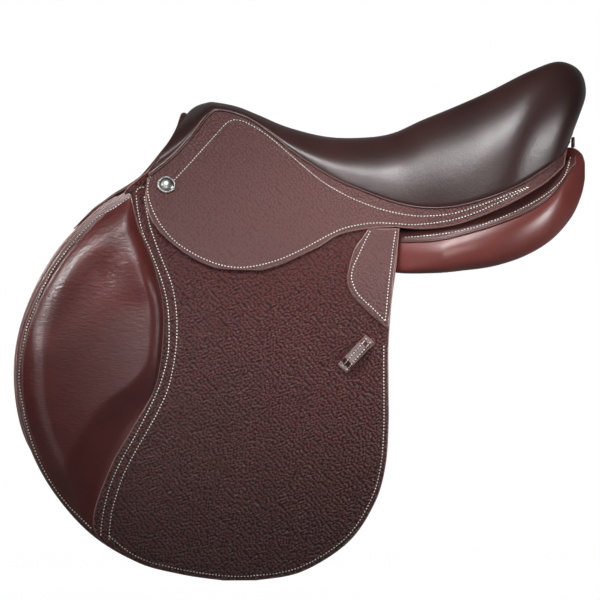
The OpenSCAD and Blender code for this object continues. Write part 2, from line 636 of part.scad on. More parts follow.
module right_skirt() { other_side() left_skirt(); }
module right_welt() { other_side() left_welt(); }
module right_stud() { other_side() left_stud(); }
module right_flap_head() { other_side() left_flap_head(); }
module right_sweat_flap() { other_side() left_sweat_flap(); }
module right_knee_block() { other_side() left_knee_block(); }
module right_panel() { other_side() left_panel(); }
module right_panel_band() { other_side() left_panel_band(); }
module right_girth_web() { other_side() left_girth_web(); }
module right_stirrup_bar() { other_side() left_stirrup_bar(); }
module right_catch_pin() { other_side() left_catch_pin(); }
module right_bar_catch() { other_side() left_bar_catch(); }
module right_rear_tab() { other_side() left_rear_tab(); }
module right_flap_lining() { other_side() left_flap_lining(); }
module right_flap() { other_side() left_flap(); }
module right_knee_pad() { other_side() left_knee_pad(); }
module right_patch() { other_side() left_patch(); }
module right_keeper() { other_side() left_keeper(); }
module right_skirt_lobe() { other_side() left_skirt_lobe(); }
module right_front_strap() { other_side() left_front_strap(); }
module right_rear_strap() { other_side() left_rear_strap(); }
module right_guard() { other_side() left_guard(); }

tree();
head_plate();
seat_webs();
seat_foam();
seat_cover();
pommel_roll();
panel_screws();
tree_rivets();
left_skirt();
left_welt();
left_stud();
left_flap_head();
left_sweat_flap();
left_knee_block();
left_panel();
left_panel_band();
left_girth_web();
left_stirrup_bar();
left_catch_pin();
left_bar_catch();
left_rear_tab();
left_flap_lining();
left_flap();
left_knee_pad();
left_patch();
left_keeper();
left_skirt_lobe();
left_front_strap();
left_rear_strap();
left_guard();
right_skirt();
right_welt();
right_stud();
right_flap_head();
right_sweat_flap();
right_knee_block();
right_panel();
right_panel_band();
right_girth_web();
right_stirrup_bar();
right_catch_pin();
right_bar_catch();
right_rear_tab();
right_flap_lining();
right_flap();
right_knee_pad();
right_patch();
right_keeper();
right_skirt_lobe();
right_front_strap();
right_rear_strap();
right_guard();
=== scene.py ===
# %% [markdown]
# # A jumping saddle, dressed in leather
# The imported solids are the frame: a tree, a seat, skirts, flaps, panels and girth straps, each in its place.
# This lesson puts leather, thread and steel over them. Every piece is built in the same coordinates as the
# solids: the pommel points to -X, the left side is -Y and +Z is up.

# %% Load the frame
import json
import math
import bpy
import bmesh
import numpy as np
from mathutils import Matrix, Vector
from mathutils.bvhtree import BVHTree

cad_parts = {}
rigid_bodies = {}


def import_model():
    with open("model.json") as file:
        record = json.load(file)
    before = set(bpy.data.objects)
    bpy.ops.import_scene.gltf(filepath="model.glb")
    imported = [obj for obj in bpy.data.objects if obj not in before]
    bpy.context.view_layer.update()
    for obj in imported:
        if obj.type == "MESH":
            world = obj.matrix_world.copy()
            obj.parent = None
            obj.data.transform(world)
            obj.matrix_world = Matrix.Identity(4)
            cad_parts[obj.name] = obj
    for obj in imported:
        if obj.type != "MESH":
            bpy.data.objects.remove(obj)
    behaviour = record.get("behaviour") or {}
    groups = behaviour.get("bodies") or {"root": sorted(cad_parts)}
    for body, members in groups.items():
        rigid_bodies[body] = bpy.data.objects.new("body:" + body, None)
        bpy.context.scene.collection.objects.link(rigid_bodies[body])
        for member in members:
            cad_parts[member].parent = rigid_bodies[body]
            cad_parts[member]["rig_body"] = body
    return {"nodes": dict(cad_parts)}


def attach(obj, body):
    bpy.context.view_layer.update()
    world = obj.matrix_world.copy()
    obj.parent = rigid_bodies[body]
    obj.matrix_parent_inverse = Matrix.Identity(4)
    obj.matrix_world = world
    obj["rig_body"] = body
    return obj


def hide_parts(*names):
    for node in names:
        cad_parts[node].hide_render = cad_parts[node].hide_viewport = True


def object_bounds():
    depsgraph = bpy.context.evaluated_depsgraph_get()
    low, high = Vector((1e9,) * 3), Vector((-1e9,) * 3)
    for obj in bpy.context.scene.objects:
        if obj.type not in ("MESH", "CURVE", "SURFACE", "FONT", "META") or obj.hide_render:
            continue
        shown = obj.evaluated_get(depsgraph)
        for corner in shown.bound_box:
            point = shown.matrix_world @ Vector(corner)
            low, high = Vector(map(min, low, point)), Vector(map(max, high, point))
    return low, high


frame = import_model()
solid_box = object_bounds()
print("solids", len(frame["nodes"]), "from", tuple(solid_box[0]), "to", tuple(solid_box[1]))

# %% [markdown]
# ## Small tools
# A colour is easier to choose as the hex value that a screen shows, and a shader wants it linear, so one
# function turns one into the other. One more adds a node to a tree with its settings and links. Lengths are
# written in millimetres, as a saddler would, and turned to metres when a mesh is made.

# %% Colour and node helpers
MM = 0.001


def linear(hex_colour):
    parts = [int(hex_colour[i:i + 2], 16) / 255 for i in (1, 3, 5)]
    return tuple(p / 12.92 if p <= 0.04045 else ((p + 0.055) / 1.055) ** 2.4 for p in parts) + (1.0,)


def add(tree, kind, sockets=None, **settings):
    made = tree.nodes.new(kind)
    for key, value in settings.items():
        setattr(made, key, value)
    for key, value in (sockets or {}).items():
        if isinstance(value, bpy.types.NodeSocket):
            tree.links.new(value, made.inputs[key])
        else:
            made.inputs[key].default_value = value
    return made


def new_material(name):
    material = bpy.data.materials.new(name)
    material.use_nodes = True
    material.node_tree.nodes.clear()
    return material, material.node_tree


def finished(material, tree, skin):
    add(tree, "ShaderNodeOutputMaterial", {"Surface": skin.outputs[0]})
    print("made", material.name)
    return material


def per_metre(size_mm):
    return 1000.0 / size_mm


print("brown as linear", linear("#6B4540"))

# %% [markdown]
# ## Pebbled leather
# The skirts and flaps of the real saddle are cowhide with a pebbled grain: the hide was tumbled until the
# grain side drew up into small soft pebbles with fine creases between them. As geometry they would take
# millions of faces, so they are relief in the material: smooth Voronoi cells, about 2 mm wide, stretched to
# nearly twice that along a slant and bent by noise. Pebbles and pores are drawn a little larger than life so
# that they show. The tops are polished by handling and the creases stay dull; the creases are also painted
# darker in colour as painted shade, mixed with random blotches of tone.

# %% Pebbled leather
GRAIN_STRETCH, GRAIN_SLANT, GRAIN_BUMP_M = 1.9, math.radians(41), 0.003
SWAY_MM, SWAY_M, PORE_MM, BLOTCH_MM = 9, 0.0014, 0.9, 90
CREASE_SHADE_FROM, CREASE_SHADE_FULL = 0.15, 0.7
LEATHER_IOR = 1.48


def pebbled_leather(name, top, painted_crease_shade, pebble_mm, rough, bump):
    material, tree = new_material(name)
    place = add(tree, "ShaderNodeTexCoord")
    axes = add(tree, "ShaderNodeSeparateXYZ", {0: place.outputs["Object"]})
    flat = add(tree, "ShaderNodeCombineXYZ", {"X": axes.outputs["X"], "Y": axes.outputs["Z"]})
    slant = add(tree, "ShaderNodeMapping", {"Vector": flat.outputs[0], "Scale": (GRAIN_STRETCH, 1.0, 1.0),
                                            "Rotation": (0, 0, GRAIN_SLANT)}, vector_type="TEXTURE")
    sway = add(tree, "ShaderNodeTexNoise", {"Vector": flat.outputs[0], "Scale": per_metre(SWAY_MM),
                                           "Detail": 1.0})
    shift = add(tree, "ShaderNodeVectorMath", {0: sway.outputs["Color"], "Scale": SWAY_M}, operation="SCALE")
    bent = add(tree, "ShaderNodeVectorMath", {0: slant.outputs[0], 1: shift.outputs[0]})
    pebbles = add(tree, "ShaderNodeTexVoronoi", {"Vector": bent.outputs[0], "Scale": per_metre(pebble_mm),
                                                 "Smoothness": 0.2, "Randomness": 0.7},
                  feature="SMOOTH_F1", voronoi_dimensions="2D")
    pores = add(tree, "ShaderNodeTexNoise", {"Vector": place.outputs["Object"], "Scale": per_metre(PORE_MM),
                                             "Detail": 3.0})
    relief = add(tree, "ShaderNodeMath", {0: pores.outputs["Fac"], 1: -0.1, 2: pebbles.outputs["Distance"]},
                 operation="MULTIPLY_ADD")
    height = add(tree, "ShaderNodeBump", {"Height": relief.outputs[0], "Strength": bump,
                                          "Distance": GRAIN_BUMP_M}, invert=True)
    # Crease mask: darkens the colour as painted shade and dulls the roughness
    crease_shade_mask = add(tree, "ShaderNodeMapRange", {"Value": pebbles.outputs["Distance"], "From Min": CREASE_SHADE_FROM,
                                              "From Max": CREASE_SHADE_FULL})
    blotch = add(tree, "ShaderNodeTexNoise", {"Vector": place.outputs["Object"],
                                              "Scale": per_metre(BLOTCH_MM), "Detail": 3.0,
                                              "Roughness": 0.55})
    tone = add(tree, "ShaderNodeMapRange", {"Value": blotch.outputs["Fac"], "From Min": 0.3, "From Max": 0.7,
                                            "To Max": 0.5})
    # Painted shade in the creases, mixed with random blotches of tone
    crease_shade_and_blotch = add(tree, "ShaderNodeMath", {0: crease_shade_mask.outputs[0], 1: tone.outputs[0]}, operation="MAXIMUM",
                use_clamp=True)
    colour = add(tree, "ShaderNodeMix", {0: crease_shade_and_blotch.outputs[0], 6: linear(top), 7: linear(painted_crease_shade)},
                 data_type="RGBA")
    gloss = add(tree, "ShaderNodeMapRange", {"Value": crease_shade_mask.outputs[0], "To Min": rough,
                                             "To Max": rough + 0.1})
    skin = add(tree, "ShaderNodeBsdfPrincipled", {"Base Color": colour.outputs[2],
                                                  "Roughness": gloss.outputs[0],
                                                  "Normal": height.outputs[0], "IOR": LEATHER_IOR})
    return finished(material, tree, skin)


# Cowhide, tumbled and worn: a flat, fine grain with a satin sheen and faint painted shade in the creases
skirt_hide = pebbled_leather("pebbled_cowhide_skirt", "#573130", "#472624", 2.0, 0.46, 0.5)
# Cowhide, tumbled: pebbles that glint against creases painted dark as shade
flap_hide = pebbled_leather("pebbled_cowhide_flap", "#5D2B2A", "#1E0908", 2.15, 0.39, 0.8)

# %% [markdown]
# ## Smooth calf
# The seat, knee pads and panels are covered with calf: a fine, close grain that was plated smooth and waxed.
# The eye sees soft, wide highlights and slow changes of tone where the dye took more or less. Stretched noise
# adds the fine creases that calf shows where it is pulled over foam; a crease length and width in millimetres
# set its scale. The pores are drawn at 1.6 mm, much coarser than life, so that they show.

# %% Smooth calf
CALF_PORE_MM, DYE_MM, CALF_BUMP_M = 1.6, 70, 0.0006


def smooth_calf(name, light, deep, rough, crease_mm, bump, pore=0.12):
    material, tree = new_material(name)
    place = add(tree, "ShaderNodeTexCoord")
    length_mm, width_mm = crease_mm
    pulled = add(tree, "ShaderNodeMapping", {"Vector": place.outputs["Object"], "Scale": (
        per_metre(length_mm), per_metre(length_mm), per_metre(width_mm))})
    creases = add(tree, "ShaderNodeTexNoise", {"Vector": pulled.outputs[0], "Scale": 1.0, "Detail": 2.5,
                                               "Roughness": 0.5, "Distortion": 0.35})
    pores = add(tree, "ShaderNodeTexVoronoi", {"Vector": place.outputs["Object"],
                                               "Scale": per_metre(CALF_PORE_MM)})
    relief = add(tree, "ShaderNodeMath", {0: pores.outputs["Distance"], 1: pore, 2: creases.outputs["Fac"]},
                 operation="MULTIPLY_ADD")
    height = add(tree, "ShaderNodeBump", {"Height": relief.outputs[0], "Strength": bump,
                                          "Distance": CALF_BUMP_M})
    dye = add(tree, "ShaderNodeTexNoise", {"Vector": place.outputs["Object"], "Scale": per_metre(DYE_MM),
                                           "Detail": 4.0, "Roughness": 0.6})
    tone = add(tree, "ShaderNodeMapRange", {"Value": dye.outputs["Fac"], "From Min": 0.32, "From Max": 0.68})
    colour = add(tree, "ShaderNodeMix", {0: tone.outputs[0], 6: linear(light), 7: linear(deep)},
                 data_type="RGBA")
    gloss = add(tree, "ShaderNodeMapRange", {"Value": dye.outputs["Fac"], "To Min": rough - 0.05,
                                             "To Max": rough + 0.07})
    skin = add(tree, "ShaderNodeBsdfPrincipled", {"Base Color": colour.outputs[2],
                                                  "Roughness": gloss.outputs[0],
                                                  "Normal": height.outputs[0], "IOR": LEATHER_IOR})
    return finished(material, tree, skin)


# Calf, plated and waxed: nearly black brown under one long soft highlight
seat_calf = smooth_calf("waxed_calf_seat", "#392423", "#2B1A19", 0.34, (9, 6), 0.2, pore=0.8)
# Calf, stretched over foam: red brown with fine creases along the pull
pad_calf = smooth_calf("waxed_calf_knee_pad", "#542221", "#431918", 0.34, (8, 2.4), 0.8)
# Calf, plated and waxed: a lighter, plain red brown
panel_calf = smooth_calf("waxed_calf_panel", "#6C322E", "#562622", 0.34, (14, 7), 0.12)
# Calf, rolled round cord or skived thin: a narrow, even sheen
trim_calf = smooth_calf("waxed_calf_trim", "#553230", "#3E2220", 0.36, (12, 5), 0.12)
# Calf, flesh side out: matt and a little fuzzy
lining_calf = smooth_calf("flesh_side_lining", "#5B3226", "#44231B", 0.62, (8, 5), 0.35)
# Bridle leather, curried and greased: tan with a low gloss
strap_hide = smooth_calf("bridle_leather", "#6A3B24", "#4A2818", 0.45, (10, 8), 0.15)
# Edge paint, brushed on and burnished, made pale as a painted highlight: a thin light line on every edge
edge_paint_and_highlight = smooth_calf("pale_edge_paint_as_highlight", "#96756F", "#7C5B56", 0.26, (20, 6), 0.08)

# %% [markdown]
# ## Thread, webbing, wood, foam and steel
# The thread is waxed polyester, off-white, and each stitch lies over a near-black strip of painted shade. The
# webbing is a plain weave of flax yarns 1.5 mm apart. The tree is laminated beech with a thin varnish. The
# seat foam is cream open-cell latex. The studs and stirrup bars are polished stainless steel, the head plate
# is brushed.
# Most of these need only two close tones, spots of a real size and a little relief, so they share a function.

# %% Thread, foam, steel and webbing
SPOT_BUMP_M, YARN_BUMP_M = 0.0003, 0.0004


def plain_finish(name, light, deep, rough, spot_mm, bump=0.2, metallic=0.0):
    material, tree = new_material(name)
    place = add(tree, "ShaderNodeTexCoord")
    spots = add(tree, "ShaderNodeTexNoise", {"Vector": place.outputs["Object"], "Scale": per_metre(spot_mm),
                                             "Detail": 3.0})
    colour = add(tree, "ShaderNodeMix", {0: spots.outputs["Fac"], 6: linear(light), 7: linear(deep)},
                 data_type="RGBA")
    height = add(tree, "ShaderNodeBump", {"Height": spots.outputs["Fac"], "Strength": bump,
                                          "Distance": SPOT_BUMP_M})
    skin = add(tree, "ShaderNodeBsdfPrincipled", {"Base Color": colour.outputs[2], "Roughness": rough,
                                                  "Metallic": metallic, "Normal": height.outputs[0]})
    return finished(material, tree, skin)


# Polyester thread, twisted and waxed: off-white, with a dull shine
thread = plain_finish("waxed_thread", "#F1E6DD", "#E2D3C8", 0.55, 0.7)
# Painted shade beside each stitch: a near-black strip under the thread
stitch_painted_shade = plain_finish("stitch_painted_shade", "#1C0B0A", "#140807", 0.6, 1.5)
# Latex, moulded with open cells: cream, matt and pitted
foam = plain_finish("latex_foam", "#D9C9A0", "#C2AF84", 0.9, 1.8, bump=0.7)
# Stainless steel, polished and handled: grey with soft reflections
polished_steel = plain_finish("polished_stainless", "#9A9996", "#868583", 0.34, 3.0, bump=0.02, metallic=1.0)
# Steel, brushed: a broader, duller reflection
brushed_steel = plain_finish("brushed_steel", "#A3A3A2", "#8C8C8C", 0.38, 0.8, bump=0.12, metallic=1.0)


def woven_webbing(name, warp, weft, yarn_mm):
    material, tree = new_material(name)
    place = add(tree, "ShaderNodeTexCoord")
    weave = add(tree, "ShaderNodeTexChecker", {"Vector": place.outputs["Object"], "Scale": per_metre(yarn_mm),
                                               "Color1": linear(warp), "Color2": linear(weft)})
    height = add(tree, "ShaderNodeBump", {"Height": weave.outputs["Fac"], "Strength": 0.4,
                                          "Distance": YARN_BUMP_M})
    skin = add(tree, "ShaderNodeBsdfPrincipled", {"Base Color": weave.outputs["Color"], "Roughness": 0.85,
                                                  "Normal": height.outputs[0]})
    return finished(material, tree, skin)


# Flax, plain weave: a matt checker of two straw tones
webbing = woven_webbing("flax_webbing", "#CDBD9C", "#A8977A", 1.5)


# %% Varnished beech
# A wave texture turns 20 radians per unit, so the growth rings come out 2 pi times wider than real and show
RING_STRETCH, WAVE_RADIANS = 0.12, 20


def laminated_beech(name, light, dark, ring_mm):
    material, tree = new_material(name)
    place = add(tree, "ShaderNodeTexCoord")
    along = add(tree, "ShaderNodeMapping", {"Vector": place.outputs["Object"],
                                            "Scale": (RING_STRETCH, 1.0, 1.0)})
    rings = add(tree, "ShaderNodeTexWave", {"Vector": along.outputs[0],
                                            "Scale": per_metre(ring_mm) / WAVE_RADIANS,
                                            "Distortion": 5.0, "Detail": 3.0, "Detail Scale": 2.0},
                bands_direction="Z")
    colour = add(tree, "ShaderNodeMix", {0: rings.outputs["Fac"], 6: linear(light), 7: linear(dark)},
                 data_type="RGBA")
    skin = add(tree, "ShaderNodeBsdfPrincipled", {"Base Color": colour.outputs[2], "Roughness": 0.42,
                                                  "Coat Weight": 0.3, "Coat Roughness": 0.15})
    return finished(material, tree, skin)


# Beech, laminated and varnished: pale brown bands under a thin gloss
beech = laminated_beech("varnished_beech", "#C9A06A", "#A87B47", 3.0)

# %% [markdown]
# ## The shape of the side
# Skirt, flap, straps and sweat flap lie in layers over one another. All of them follow the same side: flat
# above the fold line, bending round below it, then hanging straight. A point on that side is named by its x
# and its distance below the fold, and a layer by its depth under the skirt's outer face, in millimetres.

# %% Side of the saddle
FOLD_X, FOLD_Z, FOLD_HALF, TILT = -210.0, 20.0, 118.0, math.radians(7.06)
TOP_SLOPE, LOW_SLOPE, BEND = 0.5, 0.12, 110.0
SKIRT_T, FLAP_OUT, FLAP_IN, LINING_IN, SWEAT_OUT, SWEAT_IN = 4.0, 4.5, 6.9, 9.3, 26.3, 29.8
SIDES = (("left", 1), ("right", -1))


def curve(points, u):
    p = np.asarray(points, float)
    p = p.reshape(len(p), -1)
    u = np.atleast_1d(np.asarray(u, float))
    n = len(p) - 1
    i = np.clip(np.floor(u).astype(int), 0, n - 1)
    f = (u - i)[:, None]
    a, b, c, d = p[np.maximum(i - 1, 0)], p[i], p[i + 1], p[np.minimum(i + 2, n)]
    return b + 0.5 * f * (c - a + f * (2 * a - 5 * b + 4 * c - d + f * (3 * (b - c) + d - a)))


def fold_at(x):
    return FOLD_Z - (x - FOLD_X) * math.tan(TILT)


def drop(d):
    d = np.asarray(d, float)
    bent = TOP_SLOPE * d - (TOP_SLOPE - LOW_SLOPE) / (2 * BEND) * d * d
    hanging = (TOP_SLOPE + LOW_SLOPE) / 2 * BEND + LOW_SLOPE * (d - BEND)
    return np.where(d <= 0, TOP_SLOPE * d, np.where(d < BEND, bent, hanging))


def laid(flat, depth):
    x, d = flat[..., 0], flat[..., 1]
    return np.stack([x, -(FOLD_HALF + drop(d) - depth), fold_at(x) - d], -1)


def outline_grid(front, rear, rows, columns):
    step = np.linspace(0, 1, rows + 1)
    a = curve(front, step * (len(front) - 1))
    b = curve(rear, step * (len(rear) - 1))
    t = np.linspace(0, 1, columns + 1)[None, :, None]
    return a[:, None, :] * (1 - t) + b[:, None, :] * t


print("side at 0, 110 and 400 mm below the fold:", drop([0, 110, 400]))

# %% [markdown]
# ## How a sheet of leather becomes a mesh
# A cut piece of leather has a grain side, a flesh side and an edge that is rounded and painted. The mesh has
# the same three: an outer grid, an inner grid, and a rim of a few rows that bulges a little between them.
# Where two pieces are really one hide, bent at the fold line, their rims stay flat and sharp so that no seam
# shows.

# %% Piece builder
def make_piece(name, verts, faces, finishes, finish_of_face, body, nodes, sharp=None):
    mesh = bpy.data.meshes.new(name)
    mesh.from_pydata([tuple(v) for v in np.asarray(verts) * MM], [], faces)
    for finish in finishes:
        mesh.materials.append(finish)
    mesh.polygons.foreach_set("material_index", finish_of_face)
    mesh.polygons.foreach_set("use_smooth", [True] * len(faces))
    work = bmesh.new()
    work.from_mesh(mesh)
    bmesh.ops.recalc_face_normals(work, faces=work.faces)
    if sharp is not None:
        for edge in work.edges:
            if edge.verts[0].index in sharp and edge.verts[1].index in sharp:
                edge.smooth = False
    work.to_mesh(mesh)
    work.free()
    piece = bpy.data.objects.new(name, mesh)
    bpy.context.scene.collection.objects.link(piece)
    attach(piece, body)
    if nodes:
        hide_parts(*nodes)
    return piece


def grid_faces(rows, columns, start):
    i, j = np.meshgrid(np.arange(rows - 1), np.arange(columns - 1), indexing="ij")
    a = (i * columns + j).ravel() + start
    return np.stack([a, a + 1, a + columns + 1, a + columns], 1).tolist()


print("a grid of 3 by 3 points has", len(grid_faces(3, 3, 0)), "faces")

# %% Sheet builder
RIM_STEPS = 4


def sheet(name, outer, inner, finishes, body, nodes, side=1, roundness=0.4, joined=None):
    outer, inner = outer * (1, side, 1), inner * (1, side, 1)
    rows, columns = outer.shape[:2]
    ring = [(0, j) for j in range(columns)] + [(i, columns - 1) for i in range(1, rows)]
    ring += [(rows - 1, j) for j in range(columns - 2, -1, -1)] + [(i, 0) for i in range(rows - 2, 0, -1)]
    ri, rj = np.array(ring).T
    top, low = outer[ri, rj], inner[ri, rj]
    thick = top - low
    out = np.cross(np.roll(top, -1, 0) - np.roll(top, 1, 0), thick)
    out /= np.linalg.norm(out, axis=1)[:, None] + 1e-9
    inward = outer[np.clip(ri, 1, rows - 2), np.clip(rj, 1, columns - 2)] - top
    out *= -np.sign((out * inward).sum(1))[:, None]
    bulge = roundness * np.linalg.norm(thick, axis=1)
    held = np.zeros(len(ring), bool) if joined is None else joined[ri, rj]
    bulge[held] = 0
    count = rows * columns
    verts = [outer.reshape(-1, 3), inner.reshape(-1, 3)]
    loops = [ri * columns + rj]
    for k in range(1, RIM_STEPS):
        turn = math.pi * k / RIM_STEPS
        verts.append((top + low) / 2 + thick / 2 * math.cos(turn) + out * (bulge * math.sin(turn))[:, None])
        loops.append(2 * count + (k - 1) * len(ring) + np.arange(len(ring)))
    loops.append(count + ri * columns + rj)
    face_sets = [grid_faces(rows, columns, 0), grid_faces(rows, columns, count)]
    rim = []
    for a, b in zip(loops[:-1], loops[1:]):
        rim += np.stack([a, np.roll(a, -1), np.roll(b, -1), b], 1).tolist()
    face_sets.append(rim)
    finish_of_face = sum(([k] * len(f) for k, f in zip((0, 2, 1), face_sets)), [])
    sharp = {int(v) for loop in (loops[0], loops[-1]) for v in loop[held]}
    return make_piece(name, np.concatenate(verts), sum(face_sets, []), finishes, finish_of_face, body,
                      nodes, sharp)


print("sheets have", RIM_STEPS, "rim rows")

# %% [markdown]
# ## The seat
# The seat is one hide of calf blocked over foam: a narrow twist behind the pommel, a wide bowl and a cantle
# that rolls over at the back. Each station along the saddle has a middle point, a seam point, a roundness, a
# flare and a dish; a smooth curve through the stations gives the whole surface. Sculpting could give the
# shape too, but this way the cover stays on the solid and the highlight runs over it unbroken.

# %% Seat surface
# Stations: the middle as x and z, the seam as x, z and half width, then the shape of the section between them
SEAT_MID = [[-174, 109], [-170, 113], [-164, 117], [-155, 120], [-145, 121], [-122, 116], [-98, 106],
            [-68, 94], [-28, 84], [8, 82], [43, 86], [77, 99], [112, 112], [150, 127], [192, 149], [224, 163],
            [246, 154.5], [252.5, 129], [241, 97]]
SEAT_SEAM = [[-215, 41, 110], [-192, 59, 99], [-170, 82, 85], [-150, 107, 67], [-137, 112, 64],
             [-110, 104, 68], [-87, 89, 75], [-57, 65, 85], [-20, 41, 95], [12, 27, 100], [47, 14, 105],
             [78, 8, 110], [110, 9, 116], [143, 17, 119], [176, 30, 116], [209, 50, 100], [224, 62, 86],
             [232, 74, 66], [238, 86, 35]]
SEAT_CROWN = [1, 1, 1, 1.1, 1.2, 1.3, 1.3, 1.3, 1.4, 1.4, 1.4, 1.5, 1.5, 1.5, 1.4, 1.3, 1.2, 1.1, 1]
SEAT_FLARE = [1.4, 1.4, 1.4, 1.2, 1.1, 1.1, 1.1, 1.15, 1.2, 1.2, 1.2, 1.15, 1.15, 1.1, 1, 1, 1, 1, 1]
SEAT_DISH = [0, 0, 0, 0, 0, 1, 2, 2, 2, 3, 4, 6, 8, 10, 9, 5, 0, 0, 0]
LAST = len(SEAT_MID) - 1


def seat_at(s, t):
    s, t = np.broadcast_arrays(np.asarray(s, float), np.asarray(t, float))
    shape = s.shape
    s, t = s.ravel(), t.ravel()
    mid, seam = curve(SEAT_MID, s), curve(SEAT_SEAM, s)
    u = np.minimum(np.abs(t), 1)
    sink = (1 - np.cos(math.pi / 2 * u)) ** curve(SEAT_CROWN, s)[:, 0]
    reach = np.sin(math.pi / 2 * u) ** curve(SEAT_FLARE, s)[:, 0]
    dish = curve(SEAT_DISH, s)[:, 0] * np.sin(math.pi * reach) ** 2
    x = mid[:, 0] + (seam[:, 0] - mid[:, 0]) * sink
    y = -np.sign(t) * seam[:, 2] * reach
    z = mid[:, 1] + (seam[:, 1] - mid[:, 1]) * sink + dish
    return np.stack([x, y, z], -1).reshape(shape + (3,))


def unit(v):
    return v / (np.linalg.norm(v, axis=-1, keepdims=True) + 1e-12)


def seat_deep(s, t, depth):
    h = 0.02
    a = seat_at(np.minimum(s + h, LAST), t) - seat_at(np.maximum(s - h, 0), t)
    b = seat_at(s, np.minimum(t + h, 1)) - seat_at(s, np.maximum(t - h, -1))
    return seat_at(s, t) - depth * unit(np.cross(b, a))


def seat_grid(s0, s1, rows, t1, columns, depth):
    s, t = np.meshgrid(np.linspace(s0, s1, rows + 1), np.linspace(t1, -t1, columns + 1), indexing="ij")
    return seat_deep(s, t, depth)


print("seat stations", len(SEAT_MID), "lowest point of the bowl", min(z for _, z in SEAT_MID[:-1]), "mm")

# %% Seat cover and foam
SEAT_MESH, SEAT_T = (150, 1, 84), 2.5
FOAM_SPAN, FOAM_MESH, FOAM_TOP, FOAM_BASE = (1.8, 16.2), (60, 7 / 9, 30), 2.8, 11.8
seat = sheet("seat_leather_cover", seat_grid(0, LAST, *SEAT_MESH, 0), seat_grid(0, LAST, *SEAT_MESH, SEAT_T),
             (seat_calf, seat_calf, lining_calf), "saddle", ["seat_cover"], roundness=0.15)
bed = sheet("seat_foam_bed", seat_grid(*FOAM_SPAN, *FOAM_MESH, FOAM_TOP),
            seat_grid(*FOAM_SPAN, *FOAM_MESH, FOAM_BASE), (foam, foam, foam), "saddle", ["seat_foam"])
print("seat faces", len(seat.data.polygons))

# %% [markdown]
# ## The skirts
# A skirt is a single hide, sewn into the seat seam and free at its lower edge, so that it can be lifted off
# the stirrup bar. Here it is two sheets that meet along the fold line: the upper one stays with the saddle
# and the lobe below turns with the skirt's own joint. At rest the line between them can't be seen.

# %% Skirt surface
SKIRT_FOLD = [-217, -200, -182, -165, -148, -120, -94, -62, -24, 10, 48]
SKIRT_TAIL = [[48, fold_at(48.0), 118], [78, -14, 119], [110, -10, 122], [140, 0, 123], [172, 14, 120],
              [203, 32, 106], [217, 43, 94], [229, 55, 78]]
BENT = len(SKIRT_FOLD) - 1
SEAM_GAP = 0.8


def seam_run(s):
    h = 0.1
    along = unit(seat_at(np.minimum(s + h, LAST), 1.0) - seat_at(np.maximum(s - h, 0), 1.0))
    run = seat_at(s, 1.0) - seat_at(s, 0.93)
    return unit(run - (run * along).sum(-1, keepdims=True) * along)


def seam_at(s, off):
    return seat_at(s, 1.0) + off * seam_run(s)


def skirt_low(s):
    x = curve(SKIRT_FOLD, np.minimum(s, BENT))[:, 0]
    folded = np.stack([x, np.full_like(x, -FOLD_HALF), fold_at(x)], -1)
    tail = curve(SKIRT_TAIL, np.maximum(s - BENT, 0))
    return np.where((s <= BENT)[:, None], folded, tail[:, [0, 2, 1]] * (1, -1, 1))


def skirt_grid(s1, rows, columns, depth):
    s = np.linspace(0, s1, rows + 1)
    v = np.linspace(0, 1, columns + 1)[None, :, None]
    a, b = seam_at(s, SEAM_GAP)[:, None, :], skirt_low(s)[:, None, :]
    p = a + (b - a) * v
    tall = np.maximum(1, a[..., 2] - b[..., 2])
    h = p[..., 2] - b[..., 2]
    hold = np.clip((BENT - s) / 2, 0, 1)[:, None]
    bow = (a[..., 1] - b[..., 1] - TOP_SLOPE * tall) / tall ** 2
    bent = b[..., 1] + TOP_SLOPE * h + bow * h * h
    p[..., 1] += hold * (bent - p[..., 1]) + depth
    return p, s


print("the skirt folds at", BENT + 1, "stations")

# %% Skirt pieces
LOBE_FRONT = [[-217, 0], [-216, 9], [-212, 23], [-200, 38], [-183, 51], [-162, 62], [-140, 68]]
LOBE_REAR = [[48, 0], [20, 5], [-11, 15], [-32, 30], [-50, 41], [-72, 54], [-95, 64]]
SKIRT_MESH = (16.8, 168, 26)
skirt_outer, skirt_s = skirt_grid(*SKIRT_MESH, 0.0)
skirt_inner, _ = skirt_grid(*SKIRT_MESH, SKIRT_T)
lobe_flat = outline_grid(LOBE_FRONT, LOBE_REAR, 60, 110)
fold_rows = np.zeros(skirt_outer.shape[:2], bool)
fold_rows[skirt_s <= BENT, -1] = True
fold_rows[:, 0] = True
fold_lobe = np.zeros(lobe_flat.shape[:2], bool)
fold_lobe[0, :] = True
skirts, lobes = {}, {}
for side, turn in SIDES:
    hide = (skirt_hide, edge_paint_and_highlight, lining_calf)
    skirts[side] = sheet(f"skirt_leather_{side}", skirt_outer, skirt_inner, hide, "saddle",
                         [f"{side}_skirt"], turn, joined=fold_rows)
    lobes[side] = sheet(f"skirt_lobe_leather_{side}", laid(lobe_flat, 0), laid(lobe_flat, SKIRT_T), hide,
                        f"{side}_skirt_lobe", [f"{side}_skirt_lobe"], turn, joined=fold_lobe)
print("skirt faces", len(skirts["left"].data.polygons), len(lobes["left"].data.polygons))

# %% [markdown]
# ## The flaps
# Each flap has a lining as big as the whole flap, a grained hide on its rear two thirds with an S-shaped
# front edge, and a knee pad of foam under calf in front of it. The pad's stitched rim is flat, then the foam
# rises in a round ridge, dips behind it and swells again before it goes under the S-shaped edge. Low down
# the foam is slack. The pad's height is a formula of these forms, because firm foam has no free folds to
# simulate.

